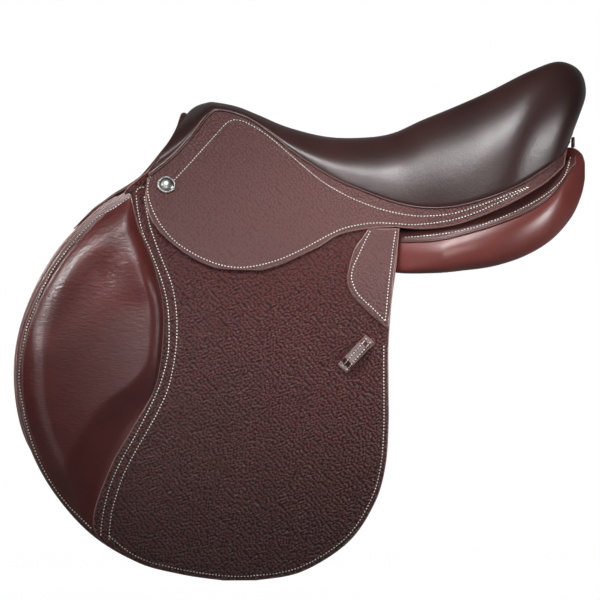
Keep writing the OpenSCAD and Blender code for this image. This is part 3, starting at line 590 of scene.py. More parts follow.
# %% Flap outlines
FLAP_FRONT = [[-240, 0], [-269, 24], [-308.5, 73], [-338, 126.5], [-353.5, 178], [-354, 233], [-341.5, 281],
              [-316, 326.5], [-276.5, 366.5]]
FLAP_FOOT = [[-229, 390], [-180, 398], [-135, 399]]
FLAP_REAR = [[52, 0], [48, 45], [43, 84], [40, 129], [40, 169], [40, 214], [36.5, 258], [25, 298],
             [-3, 342.5], [-52, 379.5], [-100, 394.5]]
PAD_EDGE = [[-234, 0], [-226, 32], [-209, 72], [-199, 114], [-199, 154], [-207, 203], [-230, 248],
            [-256, 298], [-272, 362]]
HEAD_FRONT = [[-240, 0], [-237.5, -4], [-231, -11], [-223, -18.5], [-216, -25]]
HEAD_REAR = [[-187, 0], [-187, -4], [-187, -11], [-187, -18.5], [-187, -25]]


def inset(line, distance):
    along = unit(np.gradient(line, axis=0))
    return line + distance * np.stack([-along[:, 1], along[:, 0]], -1)


print("flap hangs", FLAP_FOOT[-1][1], "mm below the fold")

# %% Height of the knee pad
PAD_CROWN, PAD_RIM, PAD_RISE, PAD_FALL = 12.0, 4.0, 26.0, 17.0
PAD_SLACK, SLACK_FROM, SLACK_RUN = 30.0, 170, 80
HOLLOW, HOLLOW_SHARE, HOLLOW_WIDE, HOLLOW_FADE = ((-268, 92), (-320, 152)), 0.5, 24, 0.5
KNOB, KNOB_SHARE, KNOB_WIDE = ((-229, 78), (-223, 90)), 0.35, 20


def crest(flat, ends, width, fade=0.0):
    start, way = np.array(ends[0]), np.array(ends[1]) - np.array(ends[0])
    t = np.clip((flat - start) @ way / (way @ way), 0, 1)
    away = np.linalg.norm(flat - start - t[..., None] * way, axis=-1)
    return (1 - fade * t) * np.exp(-(away / width) ** 2)


def nearest(flat, line):
    gap = flat.reshape(-1, 1, 2) - line[None]
    return np.sqrt((gap ** 2).sum(-1).min(1)).reshape(flat.shape[:2])


def pad_height(flat):
    rise = 1 - np.clip(1 - (nearest(flat, flat[:, 0]) - PAD_RIM) / PAD_RISE, 0, 1) ** 2
    slack = np.clip((flat[..., 1] - SLACK_FROM) / SLACK_RUN, 0, 1)
    slack = slack * slack * (3 - 2 * slack)
    fall = 1 - np.clip(nearest(flat, flat[:, -1]) / (PAD_FALL + PAD_SLACK * slack), 0, 1)
    fall = (1 - slack) * np.sqrt(1 - fall ** 2) + slack * (1 - fall ** 2 * (3 - 2 * fall))
    dip = HOLLOW_SHARE * crest(flat, HOLLOW, HOLLOW_WIDE, HOLLOW_FADE)
    swell = KNOB_SHARE * crest(flat, KNOB, KNOB_WIDE)
    return PAD_CROWN * rise * fall * (1 - dip + swell)


print("swelling up to", PAD_CROWN * KNOB_SHARE, "mm, hollow up to", PAD_CROWN * HOLLOW_SHARE, "mm")

# %% Flap pieces
FLAP_MESH, LINING_MESH, HEAD_MESH = (120, 44), (110, 48), (24, 40)
PAD_ROWS, PAD_COLUMNS, PAD_SET, PAD_LAP, PAD_SUNK, HEAD_LEAN = 150, 90, 3.0, 0.9, 0.4, 0.1
flap_flat = outline_grid(PAD_EDGE + FLAP_FOOT, FLAP_REAR, *FLAP_MESH)
lining_flat = outline_grid(FLAP_FRONT + FLAP_FOOT, FLAP_REAR, *LINING_MESH)
step = np.linspace(0, len(PAD_EDGE) - 1, PAD_ROWS + 1)
pad_front = inset(curve(FLAP_FRONT + FLAP_FOOT, step), -PAD_SET)
pad_rear = curve(PAD_EDGE + FLAP_FOOT, step) - (PAD_LAP, 0)
blend_across = np.linspace(0, 1, PAD_COLUMNS + 1)[None, :, None]
pad_flat = pad_front[:, None, :] * (1 - blend_across) + pad_rear[:, None, :] * blend_across
pad_depth = FLAP_OUT + PAD_SUNK - pad_height(pad_flat)
head_flat = outline_grid(HEAD_FRONT, HEAD_REAR, *HEAD_MESH)
head_sink = -HEAD_LEAN * head_flat[..., 1]
top_row = np.zeros(flap_flat.shape[:2], bool)
top_row[0, :] = True
head_row = np.zeros(head_flat.shape[:2], bool)
head_row[0, :] = True
flaps, pads, heads = {}, {}, {}
for side, turn in SIDES:
    body = f"{side}_flap"
    flaps[side] = sheet(f"flap_leather_{side}", laid(flap_flat, FLAP_OUT), laid(flap_flat, FLAP_IN),
                        (flap_hide, edge_paint_and_highlight, lining_calf), body, [f"{side}_flap"], turn,
                        joined=top_row)
    heads[side] = sheet(f"flap_head_leather_{side}", laid(head_flat, FLAP_OUT + head_sink),
                        laid(head_flat, FLAP_IN + head_sink), (flap_hide, edge_paint_and_highlight, lining_calf), "saddle",
                        [f"{side}_flap_head"], turn, joined=head_row)
    sheet(f"flap_lining_{side}", laid(lining_flat, FLAP_IN + 0.1), laid(lining_flat, LINING_IN),
          (trim_calf, edge_paint_and_highlight, lining_calf), body, [f"{side}_flap_lining"], turn)
    pads[side] = sheet(f"knee_pad_{side}", laid(pad_flat, pad_depth), laid(pad_flat, FLAP_IN),
                       (pad_calf, edge_paint_and_highlight, lining_calf), body, [f"{side}_knee_pad"], turn)
print("flap faces", len(flaps["left"].data.polygons), "pad faces", len(pads["left"].data.polygons))

# %% [markdown]
# ## Patch and keeper
# A patch of the same grained hide strengthens the flap's rear corner below the skirt. The keeper is a short
# strap that stands off the flap as a loop for the tail of a stirrup leather, sewn down at both ends. Both are
# sheets like the others; the keeper's arch is a smooth step up and down, so its ends lie flat.

# %% Patch and keeper pieces
PATCH_FRONT = [[20, 7], [13, 18], [5, 31], [-1, 53], [-2, 66], [3, 79], [13, 89], [26, 100], [37, 108]]
PATCH_REAR = [[51.6, 3], [50.6, 15], [49, 27], [47, 43], [45, 58], [44, 71], [43, 84], [41, 97], [40, 110]]
KEEPER_AT, KEEPER_TURN = (235.5, 140.6), math.radians(53.8)
KEEPER_L, KEEPER_W, KEEPER_T, KEEPER_GAP = 42.7, 11.3, 2.4, 6.4
KEEPER_LAY, ARCH_END, ARCH_RUN, PATCH_T, PATCH_MESH = 0.3, 0.78, 0.23, 2.2, (56, 20)


def fold_frame(a, y, z):
    c, s = math.cos(TILT), math.sin(TILT)
    return np.stack([FOLD_X + a * c + z * s, y, FOLD_Z - a * s + z * c], -1)


def keeper_grid(rise):
    f = np.linspace(-1, 1, 61)[:, None]
    w = np.linspace(-1, 1, 9)[None, :] * KEEPER_W / 2
    inside = np.clip((ARCH_END - np.abs(f)) / ARCH_RUN, 0, 1)
    arch = KEEPER_LAY + KEEPER_GAP * (1 - np.cos(math.pi * inside)) / 2
    along, lift = f * KEEPER_L / 2 + 0 * w, -(arch + rise) + 0 * w
    a = along * math.cos(KEEPER_TURN) - w * math.sin(KEEPER_TURN)
    z = along * math.sin(KEEPER_TURN) + w * math.cos(KEEPER_TURN)
    lean = math.atan(LOW_SLOPE / math.cos(TILT))
    y = lift * math.cos(lean) + z * math.sin(lean)
    z = -lift * math.sin(lean) + z * math.cos(lean)
    base = -(FOLD_HALF + drop(KEEPER_AT[1] / math.cos(TILT)) - FLAP_OUT)
    return fold_frame(KEEPER_AT[0] + a, base + y, z - KEEPER_AT[1])


patch_flat = outline_grid(PATCH_FRONT, PATCH_REAR, *PATCH_MESH)
patches, keepers = {}, {}
for side, turn in SIDES:
    patches[side] = sheet(f"flap_patch_{side}", laid(patch_flat, FLAP_OUT - PATCH_T),
                          laid(patch_flat, FLAP_OUT), (skirt_hide, edge_paint_and_highlight, lining_calf), f"{side}_flap",
                          [f"{side}_patch"], turn)
    keepers[side] = sheet(f"stirrup_keeper_{side}", keeper_grid(KEEPER_T), keeper_grid(0.0),
                          (trim_calf, edge_paint_and_highlight, lining_calf), f"{side}_flap",
                          [f"{side}_keeper"], turn)
print("keeper stands", KEEPER_GAP, "mm off the flap")

# %% [markdown]
# ## Panels and the layers under the flap
# A panel is a long cushion of foam in calf that lies along the horse's back on each side of the spine; its
# rear end shows under the seat, with a narrow band sewn on above it and a thin piping below the band. Under
# the flap are the sweat flap and a firm knee block. The panel is lofted through rounded sections with a plump
# outer side, the block rises from the sweat flap like a bolster.

# %% Panel surface
# Sections: x, then the inner top, outer top, outer bottom and inner bottom corner as half width and z
PANEL_CUT = [[-212, 48, 52, 80, 14, 88, -14, 48, 26], [-190, 40, 58, 86, 4, 100, -34, 31, 36],
             [-110, 42, 42, 87, -5, 106, -46, 30, 18], [-30, 42, 34, 88, -12, 107, -52, 30, 9],
             [15, 42, 32, 91, -17, 107, -54, 31, 6], [45, 42, 34, 106, -21, 117, -72, 32, -2],
             [89, 40, 42, 119, -20, 121, -74, 33, -2], [121, 40, 49, 120, -12, 119, -72, 34, 1],
             [154, 40, 59, 117, -1, 115, -68, 34, 5], [187, 38, 71, 109, 13, 105, -57, 33, 12],
             [215, 36, 80, 94, 32, 92, -39, 32, 21], [236, 35, 78, 72, 57, 74, -14, 33, 34],
             [247, 37, 70, 60, 56, 60, 14, 37, 42], [251, 42, 58, 54, 53, 54, 36, 42, 47]]
SECTION_BOW, PLUMP = 0.62, 9.0
PLUMP_FROM, PLUMP_RUN, PLUMP_END, PLUMP_FADE = 40, 60, PANEL_CUT[-1][0], 25


def bow(v):
    return np.sign(v) * np.abs(v) ** SECTION_BOW


def panel_at(u, angle, grow):
    u, angle = np.broadcast_arrays(np.asarray(u, float), np.asarray(angle, float))
    cut = curve(PANEL_CUT, u.ravel()).reshape(u.shape + (9,))
    corner = [cut[..., k:k + 2] for k in (1, 3, 5, 7)]
    p, r = (1 + bow(np.cos(angle)))[..., None] / 2, (1 + bow(np.sin(angle)))[..., None] / 2
    top = corner[0] + (corner[1] - corner[0]) * p
    low = corner[3] + (corner[2] - corner[3]) * p
    w = low + (top - low) * r
    swell = np.clip((cut[..., :1] - PLUMP_FROM) / PLUMP_RUN, 0, 1)
    ebb = np.clip((PLUMP_END - cut[..., :1]) / PLUMP_FADE, 0, 1)
    w[..., :1] += PLUMP * swell * ebb * 4 * r * (1 - r) * p ** 4
    w = w + grow * unit(w - sum(corner) / 4)
    return np.stack([cut[..., 0], -w[..., 0], w[..., 1]], -1)


print("panel from", PANEL_CUT[0][0], "to", PANEL_CUT[-1][0], "mm")

# %% Lofts and swept rings
RING_POINTS = 12


def loft(name, rings, finish, body, nodes, side=1):
    rings = rings * (1, side, 1)
    count, around = rings.shape[:2]
    verts = np.concatenate([rings.reshape(-1, 3), rings[:1].mean(1), rings[-1:].mean(1)])
    i, j = np.meshgrid(np.arange(count - 1), np.arange(around), indexing="ij")
    a, b = (i * around + j).ravel(), (i * around + (j + 1) % around).ravel()
    faces = np.stack([a, b, b + around, a + around], 1).tolist()
    last = (count - 1) * around
    for k in range(around):
        faces.append([count * around, (k + 1) % around, k])
        faces.append([count * around + 1, last + k, last + (k + 1) % around])
    return make_piece(name, verts, faces, [finish], [0] * len(faces), body, nodes)


def swept(path, radius, around=RING_POINTS):
    radius = np.broadcast_to(np.asarray(radius, float), (len(path),))
    along = unit(np.gradient(path, axis=0))
    side = unit(np.cross(along, (0.0, 1.0, 0.0)))
    up = np.cross(side, along)
    turn = np.linspace(0, 2 * math.pi, around, endpoint=False)[None, :, None]
    ring = np.cos(turn) * side[:, None, :] + np.sin(turn) * up[:, None, :]
    return path[:, None, :] + radius[:, None, None] * ring


print("swept rings have", RING_POINTS, "points")

# %% Panel, band, sweat flap and block pieces
SWEAT_FRONT = [[-250, 6], [-272.5, 25], [-311.5, 71.5], [-340, 126], [-355, 179], [-355.5, 233], [-342, 281],
               [-310, 317], [-260, 343], [-200, 353]]
SWEAT_REAR = [[12, 6], [12, 43], [13, 82], [13, 122], [9, 163], [0, 204], [-20, 247], [-50, 285], [-95, 321],
              [-140, 343]]
BLOCK_FRONT = [[-262, 30], [-296, 73], [-320, 124], [-330, 175]]
BLOCK_REAR = [[-238, 27], [-262, 72], [-283, 125], [-300, 171]]
PANEL_MESH, BAND_MESH, SWEAT_MESH, BLOCK_MESH = (150, 60), (110, 12), (90, 40), (50, 24)
BAND_SPAN, BAND_TOP, BAND_LOW, BAND_LIFT, LIFT_FROM, LIFT_RUN = (4.3, 11.3), 68, 32, 11, 9.4, 1.9
BAND_OUT, BAND_IN, PIPING_BELOW, PIPING_OUT, PIPING_R = 2.3, 0.1, 3, 0.9, 1.2
BLOCK_BASE, BLOCK_EDGE, BLOCK_RISE = 0.1, 1.8, 12
station, around = np.meshgrid(np.linspace(0, len(PANEL_CUT) - 1, PANEL_MESH[0]),
                              np.linspace(0, -2 * math.pi, PANEL_MESH[1], endpoint=False), indexing="ij")
panel_rings = panel_at(station, around, 0.0)
band_u, band_w = np.meshgrid(np.linspace(*BAND_SPAN, BAND_MESH[0]), np.linspace(0, 1, BAND_MESH[1]),
                             indexing="ij")
band_low = BAND_LOW + BAND_LIFT * np.clip((band_u - LIFT_FROM) / LIFT_RUN, 0, 1) ** 2
band_angle = np.radians(BAND_TOP + (band_low - BAND_TOP) * band_w)
band_outer, band_inner = panel_at(band_u, band_angle, BAND_OUT), panel_at(band_u, band_angle, BAND_IN)
piping = swept(panel_at(band_u[:, 0], np.radians(band_low[:, 0] - PIPING_BELOW), PIPING_OUT), PIPING_R)
sweat_flat = outline_grid(SWEAT_FRONT, SWEAT_REAR, *SWEAT_MESH)
block_flat = outline_grid(BLOCK_FRONT, BLOCK_REAR, *BLOCK_MESH)
block_i, block_j = np.meshgrid(*[np.linspace(0, 1, n + 1) for n in BLOCK_MESH], indexing="ij")
block_swell = np.sin(math.pi * block_j) ** 0.8 * np.sin(math.pi * block_i ** 0.75) ** 0.7
block_top = laid(block_flat, SWEAT_OUT - BLOCK_EDGE - BLOCK_RISE * block_swell)
block_foot = laid(block_flat, SWEAT_OUT - BLOCK_BASE)
panels, bands = {}, {}
for side, turn in SIDES:
    panels[side] = loft(f"panel_cushion_{side}", panel_rings, panel_calf, "saddle",
                        [f"{side}_panel"], turn)
    bands[side] = sheet(f"panel_band_{side}", band_outer, band_inner, (trim_calf, edge_paint_and_highlight, lining_calf),
                        "saddle", [f"{side}_panel_band"], turn)
    loft(f"panel_piping_{side}", piping, trim_calf, "saddle", [], turn)
    sheet(f"sweat_flap_{side}", laid(sweat_flat, SWEAT_OUT), laid(sweat_flat, SWEAT_IN),
          (trim_calf, edge_paint_and_highlight, trim_calf), "saddle", [f"{side}_sweat_flap"], turn)
    block = sheet(f"knee_block_{side}", block_top, block_foot, (pad_calf, edge_paint_and_highlight, lining_calf), "saddle",
                  [f"{side}_knee_block"], turn)
print("panel faces", len(panels["left"].data.polygons))

# %% [markdown]
# ## Rolls and welts
# A rolled lip of calf finishes the pommel arch, and a thin welt lies in the seam between seat and skirt, with
# a finer cord beside it at the pommel. All are round and covered in leather, so each is a ring swept along a
# smooth path.

# %% Rolls and welts
ROLL_PATH = [[-177.5, 0, 106.2], [-178.8, 16, 102.6], [-183, 34, 91], [-191, 52, 77], [-202, 68, 63],
             [-213.5, 80, 49], [-223, 85, 39], [-233, 88, 32], [-243, 90, 26], [-252, 92.1, 20.8],
             [-262.5, 96.3, 13.2], [-274.2, 100.7, 4.7], [-294.8, 109.1, -15.0]]
ROLL_R, ROLL_TAPER, ROLL_TIP = 4.0, 0.7, 0.1
WELT_SPAN, WELT_SHIFT, WELT_R = (0, 17.4), (0, -0.6, 0.1), 1.0
CORD_SPAN, CORD_OFF, CORD_SHIFT, CORD_R = (0.05, 2.9), -2.2, (0, -0.4, 0.1), 0.7
half = curve(ROLL_PATH, np.linspace(len(ROLL_PATH) - 1, 0, 121)) * (1, -1, 1)
roll_path = np.concatenate([half, (half * (1, -1, 1))[::-1][1:]])
roll_t = np.abs(np.linspace(-1, 1, len(roll_path)))
roll_r = ROLL_R * (1 - ROLL_TAPER * roll_t) * np.minimum(1, (1.01 - roll_t) / ROLL_TIP) ** 0.5
loft("pommel_lip", swept(roll_path, roll_r, 16), trim_calf, "saddle", ["pommel_roll"])
welt_s = np.linspace(*WELT_SPAN, 200)
welt_rings = swept(seam_at(welt_s, SEAM_GAP / 2) + WELT_SHIFT, WELT_R)
cord_rings = swept(seam_at(np.linspace(*CORD_SPAN, 60), CORD_OFF) + CORD_SHIFT, CORD_R)
for side, turn in SIDES:
    loft(f"seat_welt_{side}", welt_rings, trim_calf, "saddle", [f"{side}_welt"], turn)
    # The fine cord takes the same pale edge paint, a painted highlight
    loft(f"pommel_cord_{side}", cord_rings, edge_paint_and_highlight, "saddle", [], turn)
print("roll rings", len(roll_path), "welt rings", len(welt_s))

# %% [markdown]
# ## Small leather and webbing
# The straps, their guard, the webs and the tab at the rear already have the right shape as solids. Each gets
# a leather or webbing copy with softened edges, because a cut strap is never razor sharp.

# %% Dressed copies of small pieces
FLAT_ANGLE, CREASE_ANGLE, SOFT_ANGLE = math.radians(0.5), math.radians(35), math.radians(40)


def dressed(node, name, finish, soft_mm):
    source = frame["nodes"][node]
    mesh = source.data.copy()
    mesh.name = name
    work = bmesh.new()
    work.from_mesh(mesh)
    bmesh.ops.remove_doubles(work, verts=work.verts, dist=1e-6)
    bmesh.ops.dissolve_limit(work, angle_limit=FLAT_ANGLE, verts=work.verts, edges=work.edges)
    for face in work.faces:
        face.smooth = True
        face.material_index = 0
    for edge in work.edges:
        edge.smooth = edge.calc_face_angle(0.0) < CREASE_ANGLE
    work.to_mesh(mesh)
    work.free()
    mesh.materials.clear()
    mesh.materials.append(finish)
    piece = bpy.data.objects.new(name, mesh)
    bpy.context.scene.collection.objects.link(piece)
    soften = piece.modifiers.new("soft_edge", "BEVEL")
    soften.width = soft_mm * MM
    soften.segments = 2
    soften.limit_method = "ANGLE"
    soften.angle_limit = SOFT_ANGLE
    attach(piece, source["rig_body"])
    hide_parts(node)


dressed("seat_webs", "seat_webbing", webbing, 0.3)
for side, turn in SIDES:
    for end in ("front", "rear"):
        dressed(f"{side}_{end}_strap", f"girth_strap_{end}_{side}", strap_hide, 0.6)
    dressed(f"{side}_guard", f"buckle_guard_{side}", strap_hide, 0.5)
    dressed(f"{side}_girth_web", f"girth_webbing_{side}", webbing, 0.3)
    dressed(f"{side}_rear_tab", f"cantle_tab_{side}", trim_calf, 1.4)
print("dressed the straps, guards, webs and tabs")

# %% [markdown]
# ## Steel and wood
# Rigid parts keep their solids and only need a finish. The skirt stud is turned again as a lathe piece: a low
# dome with a rolled rim and one plain ring cut inside it.

# %% Rigid parts and studs
RIGID = {"tree": beech}
for part in ("head_plate", "panel_screws", "tree_rivets"):
    RIGID[part] = brushed_steel
for side, turn in SIDES:
    for part in ("stirrup_bar", "bar_catch"):
        RIGID[f"{side}_{part}"] = polished_steel
    RIGID[f"{side}_catch_pin"] = brushed_steel
for part, finish in RIGID.items():
    frame["nodes"][part].data.materials.clear()
    frame["nodes"][part].data.materials.append(finish)

STUD_AT, STUD_TURN = (12.5, 14.9), math.atan(TOP_SLOPE)
STUD_PROFILE = [[0, -6], [2.9, -6], [2.9, 0.1], [9.2, 0.1], [9.8, 0.4], [10, 1.0], [9.9, 1.7], [9.4, 2.2],
                [8.8, 2.4], [8.4, 2.15], [8.0, 2.4], [7, 3.1], [5.5, 3.95], [4, 4.5], [2, 4.95], [0.05, 5.1]]


def skirt_frame(a, y, z):
    c, s = math.cos(STUD_TURN), math.sin(STUD_TURN)
    return fold_frame(a, -FOLD_HALF + y * c + z * s, -y * s + z * c)


STUD_RINGS, STUD_AROUND = 77, 48
profile = curve(STUD_PROFILE, np.linspace(0, len(STUD_PROFILE) - 1, STUD_RINGS))
angle = np.linspace(0, 2 * math.pi, STUD_AROUND, endpoint=False)[None, :]
stud_rings = skirt_frame(STUD_AT[0] + profile[:, :1] * np.cos(angle), -profile[:, 1:] + 0 * angle,
                         STUD_AT[1] + profile[:, :1] * np.sin(angle))
for side, turn in SIDES:
    loft(f"skirt_stud_{side}", stud_rings, polished_steel, "saddle", [f"{side}_stud"], turn)
print("finished", len(RIGID), "rigid solids and two studs")

# %% [markdown]
# ## Stitching
# Every edge of the leather is sewn with off-white thread, between seven and eight stitches to the inch:
# 3.4 mm from hole to hole. A row is drawn once, as points across the side view in pixels of the photograph,
# or as an edge of the flap. A ray from the side finds the leather under each point, then the stitches are
# laid end to end along it as small rounded bars over a dark strip of painted shade, and mirrored for the
# other side. A dashed texture would look flat up close. They are a little thicker than real thread so that
# they show.

# %% Stitch tools
PITCH, STITCH_L, STITCH_W, STITCH_UP = 3.4, 2.1, 1.25, 0.22
# Half width and lift of the strip of painted shade under each row
SHADE_STRIP_HALF, SHADE_STRIP_UP = 0.95, 0.07
PX_MM, ORIGIN_PX = 1.068, (350, 215)


def from_picture(points):
    p = np.asarray(points, float)
    return np.stack([(p[:, 0] - ORIGIN_PX[0]) * PX_MM, (ORIGIN_PX[1] - p[:, 1]) * PX_MM], -1)


def on_side(flat):
    return np.stack([flat[:, 0], fold_at(flat[:, 0]) - flat[:, 1]], -1)


def smooth_line(points, step=0.8):
    line = curve(points, np.linspace(0, len(points) - 1, 30 * len(points)))
    run = np.concatenate([[0], np.cumsum(np.linalg.norm(np.diff(line, axis=0), axis=1))])
    at = np.arange(0, run[-1], step)
    return np.stack([np.interp(at, run, line[:, k]) for k in range(line.shape[1])], -1)


def surface_of(pieces):
    verts, faces = [], []
    for piece in pieces:
        start = len(verts)
        verts += [v.co.copy() for v in piece.data.vertices]
        faces += [[start + k for k in p.vertices] for p in piece.data.polygons]
    return BVHTree.FromPolygons(verts, faces)


def drape(line, surface):
    spots, normals = [], []
    for x, z in line:
        hit = surface.ray_cast(Vector((x * MM, -1.0, z * MM)), Vector((0, 1, 0)))
        if hit[0] is not None:
            spots.append(np.array(hit[0]) / MM)
            normals.append(np.array(hit[1]) * (-1 if hit[1].y > 0 else 1))
    return np.array(spots), np.array(normals)


print("the photograph's corner is at", from_picture([[0, 0]])[0], "mm")

# %% A stitch
BAR_T = np.array([-1.0, -0.72, 0.0, 0.72, 1.0])
BAR_R = np.array([0.35, 0.85, 1.0, 0.85, 0.35])
BAR_SINK = np.array([-0.42, -0.12, 0.0, -0.12, -0.42])
BAR_TURN = np.linspace(0, 2 * math.pi, 6, endpoint=False)


def sew(spots, normals):
    run = np.concatenate([[0], np.cumsum(np.linalg.norm(np.diff(spots, axis=0), axis=1))])
    at = np.arange(PITCH / 2, run[-1], PITCH)
    centre = np.stack([np.interp(at, run, spots[:, k]) for k in range(3)], -1)
    up = unit(np.stack([np.interp(at, run, normals[:, k]) for k in range(3)], -1))
    along = unit(np.gradient(centre, axis=0)) if len(at) > 1 else np.array([[1.0, 0, 0]])
    across = unit(np.cross(up, along))
    bars = (centre[:, None, None, :] + along[:, None, None, :] * (BAR_T * STITCH_L / 2)[None, :, None, None]
            + up[:, None, None, :] * (STITCH_UP + BAR_SINK)[None, :, None, None]
            + (BAR_R * STITCH_W / 2)[None, :, None, None] * (
                across[:, None, None, :] * np.cos(BAR_TURN)[None, None, :, None]
                + up[:, None, None, :] * np.sin(BAR_TURN)[None, None, :, None]))
    # Painted shade: a dark strip under each row of stitches
    edge = [centre + up * SHADE_STRIP_UP + across * k for k in (-SHADE_STRIP_HALF, SHADE_STRIP_HALF)]
    return bars, np.stack(edge, 1)


def thread_piece(name, rows, body, side):
    verts, faces, finish = [], [], []
    rings, around = len(BAR_T), len(BAR_TURN)
    for bars, shade_strips in rows:
        bars, shade_strips = bars * (1, side, 1), shade_strips * (1, side, 1)
        for bar in bars:
            base, first = len(verts), len(faces)
            verts += bar.reshape(-1, 3).tolist()
            for k in range(base, base + (rings - 1) * around, around):
                for j in range(around):
                    turn = (j + 1) % around
                    faces.append([k + j, k + turn, k + around + turn, k + around + j])
            last = base + (rings - 1) * around
            faces += [[base + j for j in range(around)], [last + j for j in range(around)]]
            finish += [0] * (len(faces) - first)
        base = len(verts)
        verts += shade_strips.reshape(-1, 3).tolist()
        for k in range(len(shade_strips) - 1):
            faces.append([base + 2 * k, base + 2 * k + 1, base + 2 * k + 3, base + 2 * k + 2])
            finish.append(1)
    return make_piece(name, verts, faces, [thread, stitch_painted_shade], finish, body, [])


print("stitches to the inch", round(25.4 / PITCH, 1))

# %% Where the rows run
ROWS_PX = {
    "skirt": [[[151, 175.6], [148.4, 184.8], [148.2, 193], [150.4, 203], [155.5, 215.4], [163.7, 228.7],
               [173.9, 240], [185, 248.5], [201, 257.5], [220, 264.8], [240, 267.6], [260.5, 265], [281, 259],
               [301.5, 249.8], [318, 241], [331, 234], [347, 227.5], [371, 223.4], [393, 223.6], [416, 224.8],
               [450.5, 220.4], [479.8, 211], [509, 197.4], [527.5, 188]],
              [[174, 181], [196, 157], [221, 129], [227, 123], [235, 120], [247, 123], [268, 136], [296, 160],
               [320, 180], [342, 193.5], [364, 203.5], [384, 210.3], [404, 214.6], [424, 216.3],
               [453.5, 213.5], [484, 204], [504.5, 196], [527, 187.5]]],
    "flap": [[[145, 187], [137, 190.5], [137.5, 205.5], [142.6, 231], [151.6, 252.7], [161.8, 279.5],
              [167.5, 302.4], [169.4, 326.7], [168.2, 354.7], [160.6, 384], [147.9, 412], [134.5, 437.6],
              [123.1, 457.6], [113.1, 479], [106.4, 500.5], [102.4, 521.9], [101.5, 535]],
             [[144.5, 196], [145.5, 203], [150.3, 226], [160.5, 255], [171.3, 282], [175.8, 303.7],
              [177.3, 326.7], [175.8, 352.2], [169.3, 385.4], [158.6, 410.8], [145.2, 434.9], [134.5, 453.6],
              [123.8, 475], [116.4, 496.5], [111.7, 515.2], [109.5, 540]]],
    "pad": [[[129.9, 197.2], [115.9, 207.4], [99.3, 217], [86.5, 228.5], [73.8, 242.5], [61, 259],
             [50.8, 274.4], [41.9, 292.2], [34.2, 311.4], [27.9, 326.7], [24, 345.8], [20.8, 363.7],
             [20, 381.3], [22, 396], [27.4, 422.8], [36.8, 452.3], [50.2, 479], [67.6, 503.2], [82.3, 517.9],
             [95, 530.6]]],
    "patch": [[[370.5, 230.7], [364.9, 241.4], [359.3, 253.7], [353.7, 265.9], [351.4, 276.1], [352.7, 283.3],
               [356.7, 292.4], [363.9, 300.6], [373, 308.8], [385, 321]],
              [[395.5, 231.2], [393, 246.5], [390.4, 268], [387.9, 289.4], [386.3, 307.8], [385.1, 321]]],
    "keeper": [[[342, 366.5], [353, 353.7], [366, 338.6]], [[346, 370.5], [357.5, 357], [370, 342.5]]],
    "band": [[[404, 237.6], [426.5, 235.9], [450.7, 232.8], [476.5, 226.7], [502.4, 217.2], [524.8, 206.9],
              [545.5, 194.8], [561, 181], [567.9, 167.2], [570.5, 153]]]}
EDGE_IN, EDGE_LEFT_OUT = 4.2, 3
rows = {part: [smooth_line(from_picture(row)) for row in lines] for part, lines in ROWS_PX.items()}
edge_points = PAD_EDGE[-1:] + FLAP_FOOT + FLAP_REAR[::-1][:-EDGE_LEFT_OUT]
flap_edge = curve(edge_points, np.linspace(0, len(edge_points) - 1, 120))
rows["flap"].append(inset(smooth_line(on_side(flap_edge[4::5])), EDGE_IN))
print("rows", {part: len(lines) for part, lines in rows.items()})

# %% Sew the rows
sewn = {"saddle": [], "skirt_lobe": [], "flap": []}


def sew_split(lines, pieces, below_group):
    surface = surface_of(pieces)
    for line in lines:
        spots, normals = drape(line, surface)
        below = spots[:, 2] < fold_at(spots[:, 0])
        for part in np.split(np.arange(len(spots)), np.flatnonzero(np.diff(below.astype(int))) + 1):
            if len(part) > 4:
                sewn[below_group if below[part[0]] else "saddle"].append(sew(spots[part], normals[part]))


sew_split(rows["skirt"], [skirts["left"], lobes["left"]], "skirt_lobe")
sew_split(rows["flap"], [flaps["left"], heads["left"]], "flap")
for part, pieces in (("pad", pads), ("patch", patches), ("keeper", keepers)):
    sew_split(rows[part], [pieces["left"]], "flap")
surface = surface_of([bands["left"]])
sewn["saddle"] += [sew(*drape(line, surface)) for line in rows["band"]]
for side, turn in SIDES:
    thread_piece(f"thread_seat_{side}", sewn["saddle"], "saddle", turn)
    thread_piece(f"thread_skirt_{side}", sewn["skirt_lobe"], f"{side}_skirt_lobe", turn)
    thread_piece(f"thread_flap_{side}", sewn["flap"], f"{side}_flap", turn)
print("stitches a side:", {k: sum(len(b) for b, _ in v) for k, v in sewn.items()})

# %% [markdown]
# ## Studio
# The saddle is seen from its left side, level, through a long lens, in front of plain white. The key lamp
# hangs above and in front, so that the relief of the grain shows. Smaller lamps give the seat, the flap's
# top, the knee pad and the panel's end their highlights, a weak fill comes from low in front, and one lamp
# lights the far side. The floor and the sky are white to the camera, with hardly a shadow.

